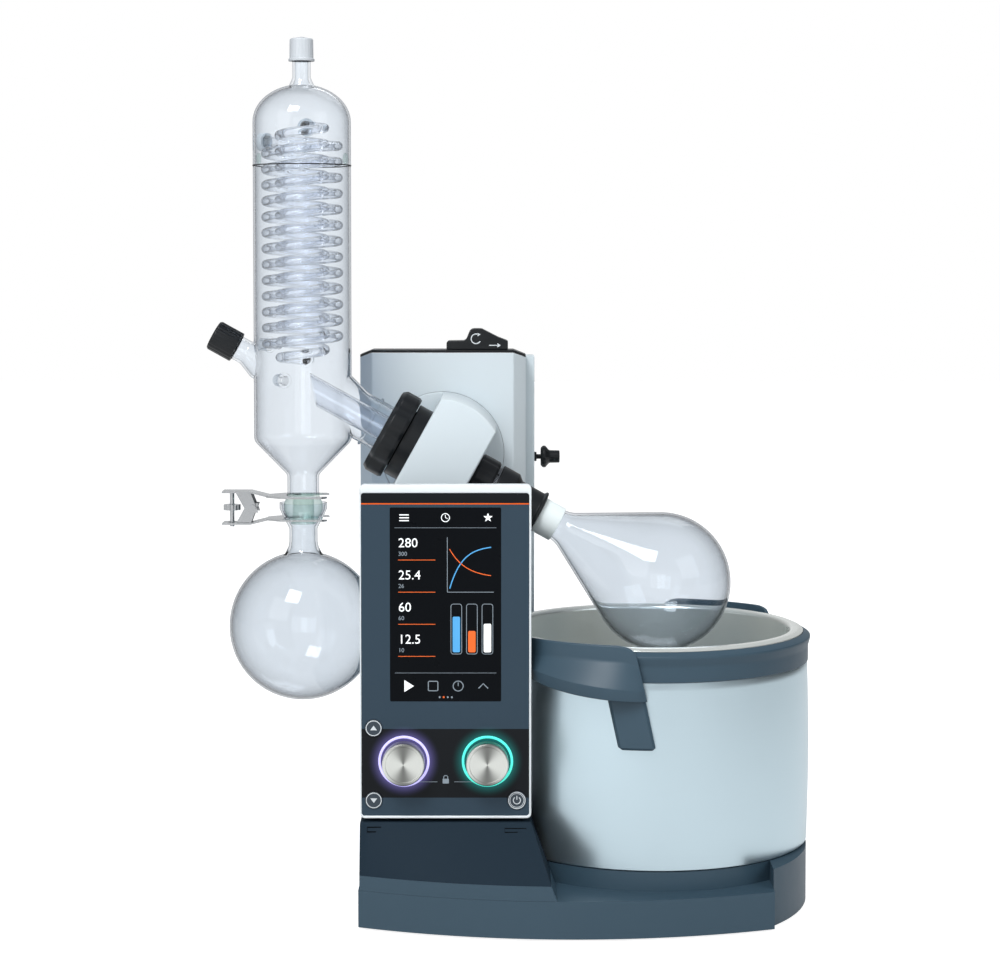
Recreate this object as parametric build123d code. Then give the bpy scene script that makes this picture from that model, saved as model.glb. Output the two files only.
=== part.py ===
from build123d import *
import os
from math import cos, pi, radians, sin, sqrt, tan

# A bench-top rotary evaporator: a powered lift carries a tilting drive head that turns a flask in a
# heating bath, and the vapour rises through the hollow drive into a glass condenser with a double coil.
# Millimetres, +Z up, X to the right along the front, -Y towards the user. The drive axis and the bath
# lie in Y = 0.

# Fits
RUN = 0.4  # gap round anything that turns or slides
SEAT = 0.15  # gap between fixed pieces that sit in one another
BATH_CLEAR = 3.0  # room round the bath, which is lifted out

# Drive axis
DRIVE_DROP = 29.0  # degrees that the axis falls towards the flask
PIVOT_X = -59.5
PIVOT_Z = 382.8

# Tower and lift
TOWER_FRONT = 77.0
TOWER_DEPTH = 86.0
TOWER_FLAT_HALF = 64.8
TOWER_CHAMFER = 11.4
TOWER_SPLIT = 118.0  # where the back cover starts
TOWER_STEP = 8.4  # how far the back cover stands out on the right
TOWER_WALL = 3.0
TOWER_TOP = 474.5
TOWER_SLOPE = 4.6  # drop of the top towards its sides
CAP_T = 2.6
LIFT_DOWN = 60.0
LIFT_REST = 5.0  # tower above the deck at the lowest stop
MAST_W = 80.0
MAST_D = 46.0
MAST_WALL = 5.0
MAST_BACK_GAP = 14.0
MAST_FOOT = 5.0
SPINDLE_R = 6.0
CARRIAGE_H = 130.0
CARRIAGE_DROP = 95.0  # top of the carriage below the drive pivot
PAD_T = 1.7
PAD_H = 30.0
PAD_EDGE = 4.0  # pads from the carriage's ends
LIFT_MOTOR_W = 56.0
LIFT_MOTOR_H = 38.0

# Base
BASE_LEFT = -125.5
FRONT_LEFT_Y = -132.0
FRONT_MID_X = 74.0
FRONT_MID_Y = -168.0
TRAY_REACH = 95.6081  # tray's right edge, right of the bath's middle
FRONT_RIGHT_Y = -137.5
DRUM_LEFT = 44.3919  # drum's middle, left of the bath's middle
DRUM_Y = -15.0
BACK_MARGIN = 2.0
HOUSING_FLOOR = 2.0
TRAY_TOP = 33.3
DECK_TOP = 50.0
DECK_FRONT = -60.0
DECK_RING_IN = 1.0  # deck ring inside the casing's wall
BASE_WALL = 3.0
PLATE_T = 2.5
FOOT_R = 11.0
FOOT_INSET = 20.0

# Front cover
COVER_INSET = 1.0
COVER_CREASE = 46.0
COVER_TOP = 88.0
COVER_TOP_Y = -122.0
COVER_RIGHT_LOW = 40.0
COVER_RIGHT_TOP = 19.0

# Control panel
PANEL_X = -52.5
PANEL_W = 143.5
PANEL_H = 281.0
PANEL_LIFT = 3.0  # frame above the cover
PANEL_FRONT = -120.0
FRAME_W = 2.6
FRAME_D = 12.0
FRAME_LEDGE = 0.5
FRAME_R = 4.0
PANE_T = 3.0
PANE_DIP = 0.6
SHELL_D = 36.0
SHELL_WALL = 2.5
SHELL_SHOULDER = 20.0
SHELL_SIDE = 1.0  # shell in from the frame's sides
SHELL_BATH_GAP = 7.5
SHELL_ROUND = 6.0
SHELL_MOUTH_LIP = 15.0
SCREEN_W = 93.0
SCREEN_FOOT = 99.0  # foot of the screen above the frame's bottom
SCREEN_DOWN = 19.0  # top of the screen below the frame's top
SCREEN_T = 7.0
SCREEN_FLANGE = 3.0
BOARD_SIDE = 10.3  # board from the shell's slanted side
BOARD_ROOM = 10.0  # board from the shell's inside top
BOARD_LEFT_GAP = 1.0
BOARD_SCREW_IN = 8.0
BOARD_T = 1.6
BOARD_BEHIND = 9.0  # board front behind the pane's back
BOSS_R = 3.5
KNOB_SPACING = 70.0
KNOB_UP = 48.5  # knob axis above the frame's bottom
KNOB_R = 17.7
KNOB_L = 14.0
KNOB_BACK = 2.0  # knob's back in front of the panel's front
KNOB_SHAFT_R = 3.0
KNOB_FACE = 5.0  # knob in front of its shaft
KNOB_EDGE = 1.2
KNOB_RIM = 3.0
KNOB_HOLLOW = 2.0
ENCODER_W = 13.0
ENCODER_GAP = 2.0
BUSH_WALL = 1.6
BUSH_L = 3.0
SHAFT_SHORT = 1.6  # shaft's end from the board
RING_IN = 18.6
RING_OUT = 21.6
RING_T = 1.0
BUTTON_R = 7.0
BUTTON_IN = 11.4  # small buttons from the frame's side
BUTTON_LOW = 15.5
BUTTON_HIGH = 76.5
POWER_R = 7.7
BUTTON_PROUD = 1.0
BUTTON_FLANGE = 0.8
BUTTON_FLANGE_T = 1.6
BUTTON_STEM_R = 2.0
BUTTON_EDGE = 0.5
BUTTON_TRAVEL = 0.8

# Mains inlet and switch at the back
INLET_X = 30.0
INLET_W = 27.0
INLET_H = 20.0
INLET_D = 22.0
INLET_RIM = 3.5
INLET_CUT = 4.0
INLET_DEEP = 15.0
INLET_PIN_W = 2.0
INLET_PIN_H = 4.0
INLET_PIN_L = 10.0
INLET_PIN_STEP = 5.0
INLET_PIN_UP = 2.0
SWITCH_STEP = 34.0
SWITCH_W = 14.0
SWITCH_D = 9.0
SWITCH_HALF = 8.0
SWITCH_BACK_HALF = 6.0
SWITCH_PROUD = 2.4
SWITCH_LEVEL = 0.6
SWITCH_PIVOT = 5.0  # rocker's pivot behind the housing's back
SWITCH_PIVOT_R = 1.2

# Heating bath
BATH_REST = 0.3
BATH_R = 138.0
BATH_BARREL = 1.5
BATH_SKIN = 2.0
CASING_H = 158.4
BAND_H = 21.8
BAND_IN = 9.0
RIM_H = 6.0
LIP_OUT = 2.5  # rim's lip beyond the casing
VESSEL_IN = 16.0  # vessel's wall inside the casing's
VESSEL_WALL = 1.5
VESSEL_DEPTH = 140.0
VESSEL_CORNER = 14.0
RIM_ROLL = 4.0
RIM_INSIDE = 3.0
LIP_T = 1.8
LIP_HANG = 0.6
HEATER_IN = 26.0  # heater's edge inside the vessel's wall
HEATER_T = 8.0
SPIGOT_R = 30.0
SPIGOT_H = 7.0
SPIGOT_STEP = 6.0
SPIGOT_EDGE = 2.0
HANDLE_START = -99.0
HANDLE_END = -143.0
HANDLE_TOP = 3.5  # above the rim
HANDLE_LIP = 5.0
HANDLE_REACH = 13.0
HANDLE_LOW = 196.0
HANDLE_RISE = 16.0
HANDLE_T = 3.4
HANDLE_GAP = 0.6  # handle from the vessel's lip
HANDLE_CUTS = 8
HANDLE_SKIRT = 14.0  # top of the handle to where it turns out
HANDLE_TURN = 1.0
HANDLE_TUCK = 0.4
HANDLE_FOOT = 8.0
TAB_W = 31.0
TAB_LEAN = 12.0
TAB_LEFT = -47.5
TAB_LOW = 153.0
TAB_T = 4.6
TAB_TOP = 12.0  # tab's top above the handle's lower edge
TAB_ROUND = 3.0

# Drive head, along the drive axis from the tilt pivot
HEAD_R = 56.0
HEAD_LEFT = -26.0
HEAD_RIGHT = 30.0
HEAD_FRONT = -36.0
HEAD_EDGE = 2.0
TRUNNION_R = 50.0
TILT_RING_T = 9.0
TILT_FLANGE = 3.0
BORE_R = 27.0
SHAFT_R = 19.0
BEARING_W = 9.0
BEARING_A = -24.0
BEARING_B = 4.0
PULLEY_R = 24.0
PULLEY_A = 17.0
PULLEY_W = 9.0
BELT_T = 1.6
MOTOR_BACK = 47.0  # motor axis behind the drive axis
MOTOR_R = 17.0
MOTOR_A = -21.0
MOTOR_B = 13.5
MOTOR_PULLEY_R = 10.0
MOTOR_SHAFT_R = 3.0
MOTOR_BLIND = 8.0
THREAD_RING_R = 34.0
THREAD_RING_T = 13.0
SPIGOT_THREAD_R = 27.0
SPIGOT_THREAD_L = 10.0
UNION_R = 40.0
UNION_L = 19.0
UNION_LOBES = 8
UNION_SCALLOP = 26.0
UNION_BITE = 3.2
UNION_LIP = 6.0
SEAL_R = 23.0
SEAL_T = 7.0

# Rotating flask line
DUCT_R = 11.5
DUCT_WALL = 1.8
DUCT_A = -125.0
DUCT_B = 96.0
DUCT_SLANT = 35.0
NOSE_R = 20.0
PUSH_A = 31.0
PUSH_B = 49.4
PUSH_R = 24.0
PUSH_GRIPS = 12
PUSH_SCALLOP = 4.0
PUSH_BITE = 1.0
COLLAR_A = 52.0
COLLAR_B = 71.0
COLLAR_R = 23.0
CLIP_B = 99.0
CLIP_R = 18.5
CLIP_TIP = 2.6
CLIP_TIP_L = 7.0
CLIP_LIP = 3.0
CLIP_SEAT = 9.0
NOSE_FACE = 8.0
NOSE_STEP = 2.0
SLEEVE_B = 118.0
SLEEVE_R = 16.0
NECK_R = 14.2
FLASK_R = 61.5
FLASK_T = 223.0
FLASK_CONE = 29.3
GLASS = 2.3

# Condenser and receiving flask
COND_REACH = 138.8  # condenser axis from the pivot, along the drive axis
COND_R = 43.0
ARM_UP = 50.1  # arm's crossing above the foot of the condenser's straight wall
COND_H = 280.0
COND_DOME = 33.0
COND_NECK_R = 8.0
NECK_FOOT = 4.0
COND_NECK_L = 34.5
COND_CONE_H = 30.0
DRAIN_R = 14.0
DRAIN_L = 29.0
BEAD_OUT = 2.5
BALL_R = 17.5
BALL_BORE = 9.0
CUP_R = 21.0
CUP_DROP = 17.0
CUP_RISE = 4.0
CUP_EDGE = 5.0  # upright edge of the cup
RECEIVER_R = 65.5
RECEIVER_DROP = 105.0  # flask's middle under the ball joint
RECEIVER_NECK_R = 12.5
NECK_BLEND = 14.0
ARM_R = 21.0
ARM_FLARE_R = 33.0
ARM_FLARE_A = -125.0
ARM_FLARE_B = -80.0
ARM_BEAD_A = -71.5
ARM_BEAD_R = 23.0
ARM_BEAD_W = 2.4
ARM_FLANGE_R = 25.0
ARM_FLANGE_T = 3.0
SIDE_PORT_R = 11.0
SIDE_PORT_FLARE = 17.0
SIDE_CAP_A = -228.4
SIDE_CAP_B = -205.0
SIDE_CAP_R = 13.7
CAP_WALL = 2.4
CAP_GRIPS = 14
TOP_CAP_ABOVE = 3.0  # cap's top above the neck
TOP_CAP_H = 21.5
TOP_CAP_R = 10.5
TOP_CAP_FOOT = 2.0
TOP_CAP_RIM = 1.0
COIL_TUBE_R = 4.0
COIL_PITCH = 13.9
COIL_FOOT = 69.75  # inner coil's lower end above the foot of the straight wall
COIL_SIDES = 6
OUTER_COIL_R = 32.0
OUTER_FEWER = 2  # turns that the outer coil has less than the inner one
INNER_COIL_R = 20.0
REAR_ANGLE = 90.0
SIDE_ANGLE = 137.0
PORT_R = 5.5
PORT_L = 14.0
PORT_WALL = 2.5
PORT_FOOT = 1.5  # flat collar where a port is fused to the shell
PORT_FOOT_OUT = 1.7
PORT_CAP_R = 8.0
PORT_CAP_L = 11.0
PORT_CAP_OUT = 3.0
VACUUM_ANGLE = 118.0
VACUUM_UP = 51.0  # vacuum port above the foot of the straight wall

# Ball joint clamp
CLAMP_T = 1.5
CLAMP_HALF = 10.0  # jaws above and below the ball centre
CLAMP_TAIL_HALF = 14.0
CLAMP_TAIL = -71.0  # tail end from the condenser axis
CLAMP_BEND = -32.0
CLAMP_FORK = 22.0
CLAMP_WIDTH = 20.0
CLAMP_PIN = -44.0
CLAMP_PIN_R = 1.6
CLAMP_SCREW = -63.0
CLAMP_SCREW_R = 2.0
CLAMP_NUT_R = 7.5
CLAMP_NUT_T = 4.8
CLAMP_NUT_GRIPS = 16
CLAMP_NUT_SCALLOP = 1.6
CLAMP_NUT_BITE = 0.5

# Release slider and stop knob on the tower
SLIDER_LEFT = 3.5  # slider's left end, right of the pivot
SLIDER_L = 56.3
SLIDER_D = 22.0
SLIDER_H = 8.3
SLIDER_HUMP = 19.3
SLIDER_TRAVEL = 10.0
SLIDER_FOOT = 26.0
SLIDER_NECK = 9.0
STOP_Y = 140.0
STOP_Z = 374.4
STOP_SHAFT_R = 2.2
STOP_FLANGE_R = 10.1
STOP_GRIP_R = 5.7
STOP_OUT = 24.6

# Places that follow from the sizes above
LIP_R = BATH_R + LIP_OUT
VESSEL_R = BATH_R - VESSEL_IN
HEATER_R = VESSEL_R - HEATER_IN
DECK_RING_R = BATH_R - DECK_RING_IN
SWING_R = LIP_R + BATH_CLEAR
BATH_X = PIVOT_X + TOWER_FLAT_HALF + sqrt(SWING_R**2 - TOWER_FRONT**2)
DRUM_X = BATH_X - DRUM_LEFT
TRAY_RIGHT = BATH_X + TRAY_REACH
TOWER_LEFT = PIVOT_X - TOWER_FLAT_HALF - TOWER_CHAMFER
TOWER_RIGHT = PIVOT_X + TOWER_FLAT_HALF + TOWER_CHAMFER
CHAMFER_Y = sqrt(SWING_R**2 - (BATH_X - TOWER_RIGHT) ** 2)
TOWER_BACK = TOWER_FRONT + TOWER_DEPTH
TOWER_LOW = DECK_TOP + LIFT_DOWN + LIFT_REST
BASE_BACK = TOWER_BACK + BACK_MARGIN
DRUM_R = BASE_BACK - DRUM_Y
MAST_Y = TOWER_BACK - TOWER_WALL - MAST_BACK_GAP - MAST_D / 2
MAST_TOP = TOWER_TOP - LIFT_DOWN - 16.0
CASING_Z = DECK_TOP + BATH_REST
CASING_TOP = CASING_Z + CASING_H
BAND_TOP = CASING_TOP + BAND_H
CREST = BAND_TOP + RIM_H
VESSEL_FLOOR = CREST - VESSEL_DEPTH
PANEL_Z = COVER_TOP + PANEL_LIFT
PANEL_TOP = PANEL_Z + PANEL_H
PANEL_LEFT = PANEL_X - PANEL_W / 2
PANEL_RIGHT = PANEL_X + PANEL_W / 2
FRAME_BACK = PANEL_FRONT + FRAME_D
PANE_FRONT = PANEL_FRONT + PANE_DIP
PANE_BACK = PANE_FRONT + PANE_T
BOARD_FRONT = PANE_BACK + BOARD_BEHIND
SCREEN_H = PANEL_H - SCREEN_DOWN - SCREEN_FOOT
SCREEN_Z = PANEL_TOP - SCREEN_DOWN - SCREEN_H / 2
KNOB_Z = PANEL_Z + KNOB_UP
PANEL_MID = PANEL_Z + PANEL_H / 2
SHELL_TOP = PANEL_TOP - 2 * FRAME_R
SHELL_BACK_X = BATH_X - LIP_R - SHELL_BATH_GAP
SHELL_LEAN = (PANEL_RIGHT - SHELL_SIDE - SHELL_BACK_X) / SHELL_SHOULDER
SHELL_SLANT_IN = SHELL_WALL * sqrt(1 + SHELL_LEAN**2)
BOARD_LEFT = PANEL_LEFT + FRAME_W + SHELL_WALL + SEAT + BOARD_LEFT_GAP
BOARD_BACK = BOARD_FRONT + BOARD_T
BOARD_RIGHT = PANEL_RIGHT - SHELL_SIDE - SHELL_LEAN * (BOARD_BACK - FRAME_BACK) - SHELL_SLANT_IN - BOARD_SIDE
BOARD_HALF = SHELL_TOP - SHELL_WALL - BOARD_ROOM - PANEL_MID
INLET_Z = (HOUSING_FLOOR + DECK_TOP) / 2
SWITCH_X = INLET_X - SWITCH_STEP
COS_DROP = cos(radians(DRIVE_DROP))
SIN_DROP = sin(radians(DRIVE_DROP))
COND_X = PIVOT_X - COND_REACH * COS_DROP
COND_LOW = PIVOT_Z + COND_REACH * SIN_DROP - ARM_UP
COND_SHOULDER = COND_LOW + COND_H
DOME_TOP = COND_SHOULDER + COND_DOME
COND_TOP = DOME_TOP + NECK_FOOT + COND_NECK_L
TOP_CAP_Z = COND_TOP + TOP_CAP_ABOVE - TOP_CAP_H
INNER_TURNS = int((COND_H - COIL_FOOT) / COIL_PITCH)
OUTER_TURNS = INNER_TURNS - OUTER_FEWER
COIL_MID_Z = COND_LOW + COIL_FOOT + INNER_TURNS * COIL_PITCH / 2
VACUUM_Z = COND_LOW + VACUUM_UP
DRAIN_TOP = COND_LOW - COND_CONE_H
BALL_Z = DRAIN_TOP - DRAIN_L
RECEIVER_Z = BALL_Z - RECEIVER_DROP
THREAD_RING_A = HEAD_LEFT - THREAD_RING_T
UNION_A = THREAD_RING_A - UNION_L
ARM_END = THREAD_RING_A - SPIGOT_THREAD_L
DRIVE = Plane(
    origin=(PIVOT_X, 0, PIVOT_Z), x_dir=(SIN_DROP, 0, COS_DROP), z_dir=(COS_DROP, 0, -SIN_DROP)
)


def outline(points):
    """A flat face through corner points; a third value in a point rounds that corner."""
    corners = []
    for i, point in enumerate(points):
        here = Vector(point[0], point[1])
        radius = point[2] if len(point) > 2 else 0
        if radius:
            back = (Vector(*points[i - 1][:2]) - here).normalized()
            ahead = (Vector(*points[(i + 1) % len(points)][:2]) - here).normalized()
            half = radians(back.get_angle(ahead)) / 2
            centre = here + (back + ahead).normalized() * (radius / sin(half))
            middle = centre + (here - centre).normalized() * radius
            reach = radius / tan(half)
            corners.append((here + back * reach, middle, here + ahead * reach))
        else:
            corners.append((here, None, here))
    edges = []
    for i, (start, middle, end) in enumerate(corners):
        if middle is not None:
            edges.append(ThreePointArc(start, middle, end))
        following = corners[(i + 1) % len(corners)][0]
        if (following - end).length > 1e-6:
            edges.append(Line(end, following))
    return make_face(edges)


def prism(face, low, high):
    """A flat face of the XY plane raised from low to high."""
    return extrude(Pos(0, 0, low) * face, high - low, dir=(0, 0, 1))


def along_x(points, low, high):
    """An outline in Y and Z, drawn out along X."""
    return extrude(Pos(low, 0, 0) * (Plane.YZ * outline(points)), high - low, dir=(1, 0, 0))


def along_y(face, low, high):
    """A face drawn in X and Z, drawn out along Y."""
    return extrude(Pos(0, low, 0) * (Plane.XZ * face), high - low, dir=(0, 1, 0))


def turned(points):
    """A body turned round Z from an outline of radius and height."""
    return revolve(Plane.XZ * outline(points), Axis.Z)


def tube(outer, inner, low, high):
    """A plain ring round Z."""
    return turned([(inner, low), (outer, low), (outer, high), (inner, high)])


def rod(radius, low, high):
    """A plain cylinder on Z."""
    return Pos(0, 0, (low + high) / 2) * Cylinder(radius, high - low)


def on_drive(shape):
    """A shape built along Z, set on the drive axis."""
    return DRIVE.location * shape


def on_condenser(shape):
    """A shape built round Z, set on the condenser axis."""
    return Pos(COND_X, 0, 0) * shape


def facing_user(shape, x, z):
    """A shape built along Z, turned so that its Z points along +Y at this place on the panel."""
    return Pos(x, 0, z) * Rot(-90, 0, 0) * shape


def box_between(low, high):
    """A block between two corners."""
    size = [b - a for a, b in zip(low, high)]
    middle = [(a + b) / 2 for a, b in zip(low, high)]
    return Pos(*middle) * Box(*size)


def front_circle():
    """Centre and radius of the bow of the base's front."""
    ax, ay = BASE_LEFT, FRONT_LEFT_Y
    bx, by = FRONT_MID_X, FRONT_MID_Y
    cx, cy = TRAY_RIGHT, FRONT_RIGHT_Y
    twice = 2 * (ax * (by - cy) + bx * (cy - ay) + cx * (ay - by))
    a2, b2, c2 = ax * ax + ay * ay, bx * bx + by * by, cx * cx + cy * cy
    x = (a2 * (by - cy) + b2 * (cy - ay) + c2 * (ay - by)) / twice
    y = (a2 * (cx - bx) + b2 * (ax - cx) + c2 * (bx - ax)) / twice
    return x, y, sqrt((ax - x) ** 2 + (ay - y) ** 2)


def front_y(x, inset=0.0):
    """Y of the bowed front at a given X, moved in by inset."""
    middle_x, middle_y, radius = front_circle()
    return middle_y - sqrt((radius - inset) ** 2 - (x - middle_x) ** 2)


def base_plan():
    """The base seen from above."""
    step_y = DRUM_Y - sqrt(DRUM_R**2 - (TRAY_RIGHT - DRUM_X) ** 2)
    corners = [
        (BASE_LEFT, BASE_BACK),
        (BASE_LEFT, FRONT_LEFT_Y),
        (TRAY_RIGHT, FRONT_RIGHT_Y),
        (TRAY_RIGHT, step_y),
        (DRUM_X, BASE_BACK),
    ]
    return make_face(
        [
            Line(corners[0], corners[1]),
            ThreePointArc(corners[1], (FRONT_MID_X, FRONT_MID_Y), corners[2]),
            Line(corners[2], corners[3]),
            ThreePointArc(corners[3], (DRUM_X + DRUM_R, DRUM_Y), corners[4]),
            Line(corners[4], corners[0]),
        ]
    )


def tray_plan():
    """The low front of the base, which the deck leaves free."""
    tray = outline(
        [
            (BASE_LEFT - 1, DECK_FRONT),
            (BASE_LEFT - 1, FRONT_MID_Y - 1),
            (TRAY_RIGHT, FRONT_MID_Y - 1),
            (TRAY_RIGHT, DECK_FRONT),
        ]
    )
    return tray - Pos(BATH_X, 0) * Circle(DECK_RING_R)


def base_housing():
    plan = base_plan()
    inner = offset(plan, -BASE_WALL, kind=Kind.INTERSECTION)
    tray = tray_plan()
    inner_deck = inner - offset(tray, BASE_WALL, kind=Kind.INTERSECTION)
    body = prism(plan, HOUSING_FLOOR, TRAY_TOP) + prism(plan - tray, HOUSING_FLOOR, DECK_TOP)
    body -= prism(inner, HOUSING_FLOOR, TRAY_TOP - BASE_WALL)
    body -= prism(inner_deck, HOUSING_FLOOR, DECK_TOP - BASE_WALL)
    body -= Pos(PIVOT_X, MAST_Y) * rod(SPINDLE_R + 2 * RUN, HOUSING_FLOOR, DECK_TOP)
    body -= Pos(BATH_X, 0) * rod(SPIGOT_R - SPIGOT_STEP + SEAT, HOUSING_FLOOR, DECK_TOP)
    for x, width in ((INLET_X, INLET_W), (SWITCH_X, SWITCH_W)):
        hole = Pos(x, BASE_BACK, INLET_Z) * Box(width + 2 * SEAT, 4 * BASE_WALL, INLET_H + 2 * SEAT)
        body -= hole
    return body


def bottom_plate():
    plan = offset(base_plan(), -BASE_WALL - RUN, kind=Kind.INTERSECTION)
    return prism(plan, HOUSING_FLOOR, HOUSING_FLOOR + PLATE_T)


def feet():
    foot = turned([(0, 0), (FOOT_R - 1, 0), (FOOT_R, 1), (FOOT_R, HOUSING_FLOOR), (0, HOUSING_FLOOR)])
    left = BASE_LEFT + FOOT_INSET
    right = TRAY_RIGHT - FOOT_INSET
    places = [
        (left, FRONT_LEFT_Y + FOOT_INSET),
        (left, BASE_BACK - FOOT_INSET),
        (right, FRONT_RIGHT_Y + FOOT_INSET),
        (DRUM_X + DRUM_R / 2, BASE_BACK - DRUM_R / 2),
    ]
    return Compound([Pos(x, y, 0) * foot for x, y in places])


def cover_section(z, right, inset, bowed):
    """One level of the front cover, with a bowed or a straight front."""
    left = BASE_LEFT + COVER_INSET + inset
    right = right - inset
    back = DECK_FRONT - RUN - inset
    middle = (left + right) / 2
    if bowed:
        front = ThreePointArc(
            (left, front_y(left, inset)), (middle, front_y(middle, inset)), (right, front_y(right, inset))
        )
    else:
        y = COVER_TOP_Y + inset
        front = Line((left, y), (right, y))
    sides = [
        Line((left, back), front @ 0),
        front,
        Line(front @ 1, (right, back)),
        Line((right, back), (left, back)),
    ]
    return Pos(0, 0, z) * make_face(sides)


def cover_body(inset):
    low = TRAY_TOP + SEAT
    share = (COVER_CREASE - low) / (COVER_TOP - low)
    crease_right = COVER_RIGHT_LOW + (COVER_RIGHT_TOP - COVER_RIGHT_LOW) * share
    crease = cover_section(COVER_CREASE, crease_right, inset, True)
    foot = loft([cover_section(low, COVER_RIGHT_LOW, inset, True), crease], ruled=True)
    slope = loft([crease, cover_section(COVER_TOP - inset, COVER_RIGHT_TOP, inset, False)], ruled=True)
    room = Pos(BATH_X, 0) * rod(SWING_R + inset, low - 1, COVER_TOP + 1)
    return foot + slope - room


def front_cover():
    return cover_body(0.0) - cover_body(BASE_WALL)


def shell_plan():
    """The back shell of the panel from above; its right side stays clear of the bath."""
    back = FRAME_BACK + SHELL_D
    return outline(
        [
            (PANEL_LEFT + SHELL_SIDE, FRAME_BACK),
            (PANEL_RIGHT - SHELL_SIDE, FRAME_BACK),
            (SHELL_BACK_X, FRAME_BACK + SHELL_SHOULDER, SHELL_ROUND),
            (SHELL_BACK_X, back, SHELL_ROUND),
            (PANEL_LEFT + SHELL_SHOULDER / 2, back, 6),
            (PANEL_LEFT + SHELL_SIDE, FRAME_BACK + SHELL_SHOULDER, SHELL_ROUND),
        ]
    )


def board_screws():
    """Places of the control board's four screws, in X and Z."""
    left = BOARD_LEFT + 2 * BOARD_SCREW_IN
    right = SHELL_BACK_X - SHELL_WALL - BOARD_SCREW_IN
    up = BOARD_HALF - BOARD_SCREW_IN
    return [(x, PANEL_MID + dz) for x in (left, right) for dz in (-up, up)]


def panel_back_shell():
    plan = shell_plan()
    top = SHELL_TOP
    back = FRAME_BACK + SHELL_D
    body = prism(plan, COVER_TOP, top)
    inner = offset(plan, -SHELL_WALL)
    body -= prism(inner, COVER_TOP + SHELL_WALL, top - SHELL_WALL)
    mouth_left = PANEL_LEFT + SHELL_SIDE + SHELL_WALL
    mouth_right = PANEL_RIGHT - SHELL_SIDE - SHELL_MOUTH_LIP
    body -= box_between(
        (mouth_left, FRAME_BACK - 1, COVER_TOP + SHELL_WALL + PANEL_LIFT),
        (mouth_right, FRAME_BACK + SHELL_WALL + SEAT, top - SHELL_WALL),
    )
    for x, z in board_screws():
        body += facing_user(rod(BOSS_R, BOARD_BACK, back - SHELL_WALL / 2), x, z)
    return body


def panel_face(inset, radius):
    """The panel's front outline in X and Z, moved in by inset."""
    left, right = PANEL_LEFT + inset, PANEL_RIGHT - inset
    low, high = PANEL_Z + inset, PANEL_TOP - inset
    return outline([(left, low, radius), (right, low, radius), (right, high, radius), (left, high, radius)])


def panel_frame():
    ledge = FRAME_W + FRAME_LEDGE
    body = along_y(panel_face(0, FRAME_R), PANEL_FRONT, FRAME_BACK)
    body -= along_y(panel_face(FRAME_W, FRAME_R / 2), PANEL_FRONT - 1, PANE_BACK)
    return body - along_y(panel_face(ledge, FRAME_R / 2), PANEL_FRONT, FRAME_BACK + 1)


def screen_face(grow):
    half_w, half_h = SCREEN_W / 2 + grow, SCREEN_H / 2 + grow
    return Pos(PANEL_X, SCREEN_Z) * Rectangle(2 * half_w, 2 * half_h)


def knob_x(side):
    return PANEL_X + side * KNOB_SPACING / 2


def button_places():
    """Name, X, Z and radius of each push button."""
    return {
        "up": (PANEL_LEFT + BUTTON_IN, PANEL_Z + BUTTON_HIGH, BUTTON_R),
        "down": (PANEL_LEFT + BUTTON_IN, PANEL_Z + BUTTON_LOW, BUTTON_R),
        "power": (PANEL_RIGHT - BUTTON_IN - POWER_R + BUTTON_R, PANEL_Z + BUTTON_LOW, POWER_R),
    }


def panel_pane():
    body = along_y(panel_face(FRAME_W + SEAT, FRAME_R / 2), PANE_FRONT, PANE_BACK)
    body -= along_y(screen_face(SEAT), PANEL_FRONT, PANE_BACK + 1)
    for side in (-1, 1):
        body -= facing_user(rod(KNOB_SHAFT_R + 2, PANEL_FRONT, PANE_BACK + 1), knob_x(side), KNOB_Z)
    for x, z, radius in button_places().values():
        body -= facing_user(rod(radius + RUN, PANEL_FRONT, PANE_BACK + 1), x, z)
    return body


def display():
    glass = along_y(screen_face(0), PANE_FRONT, PANE_BACK + SEAT)
    return glass + along_y(screen_face(SCREEN_FLANGE), PANE_BACK + SEAT, PANE_FRONT + SCREEN_T)


def control_board():
    """The board behind the pane, with the two encoders that the knobs turn."""
    low = (BOARD_LEFT, BOARD_FRONT, PANEL_MID - BOARD_HALF)
    body = box_between(low, (BOARD_RIGHT, BOARD_BACK, PANEL_MID + BOARD_HALF))
    depth = BOARD_FRONT - PANE_BACK - ENCODER_GAP
    for side in (-1, 1):
        case = Pos(knob_x(side), BOARD_FRONT - depth / 2, KNOB_Z) * Box(ENCODER_W, depth, ENCODER_W)
        bush = rod(KNOB_SHAFT_R + BUSH_WALL, PANE_FRONT, PANE_BACK + BUSH_L)
        bush = facing_user(bush, knob_x(side), KNOB_Z)
        hole = facing_user(rod(KNOB_SHAFT_R + RUN, PANEL_FRONT - 1, BOARD_FRONT), knob_x(side), KNOB_Z)
        body += case + bush - hole
    return body


def light_rings():
    ring = tube(RING_OUT, RING_IN, PANE_FRONT - RING_T, PANE_FRONT)
    return Compound([facing_user(ring, knob_x(side), KNOB_Z) for side in (-1, 1)])


def knob_shaft(side):
    front = PANEL_FRONT - KNOB_BACK - KNOB_L + KNOB_FACE
    return facing_user(rod(KNOB_SHAFT_R, front, BOARD_FRONT - SHAFT_SHORT), knob_x(side), KNOB_Z)


def knob(side):
    back = PANEL_FRONT - KNOB_BACK
    front = back - KNOB_L
    rim = KNOB_R - KNOB_RIM
    hollow = back - KNOB_HOLLOW
    body = turned(
        [(0, front), (KNOB_R, front, KNOB_EDGE), (KNOB_R, back), (rim, back), (rim, hollow), (0, hollow)]
    )
    body -= rod(KNOB_SHAFT_R + RUN, front + KNOB_FACE - RUN, back)
    return facing_user(body, knob_x(side), KNOB_Z)


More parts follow.
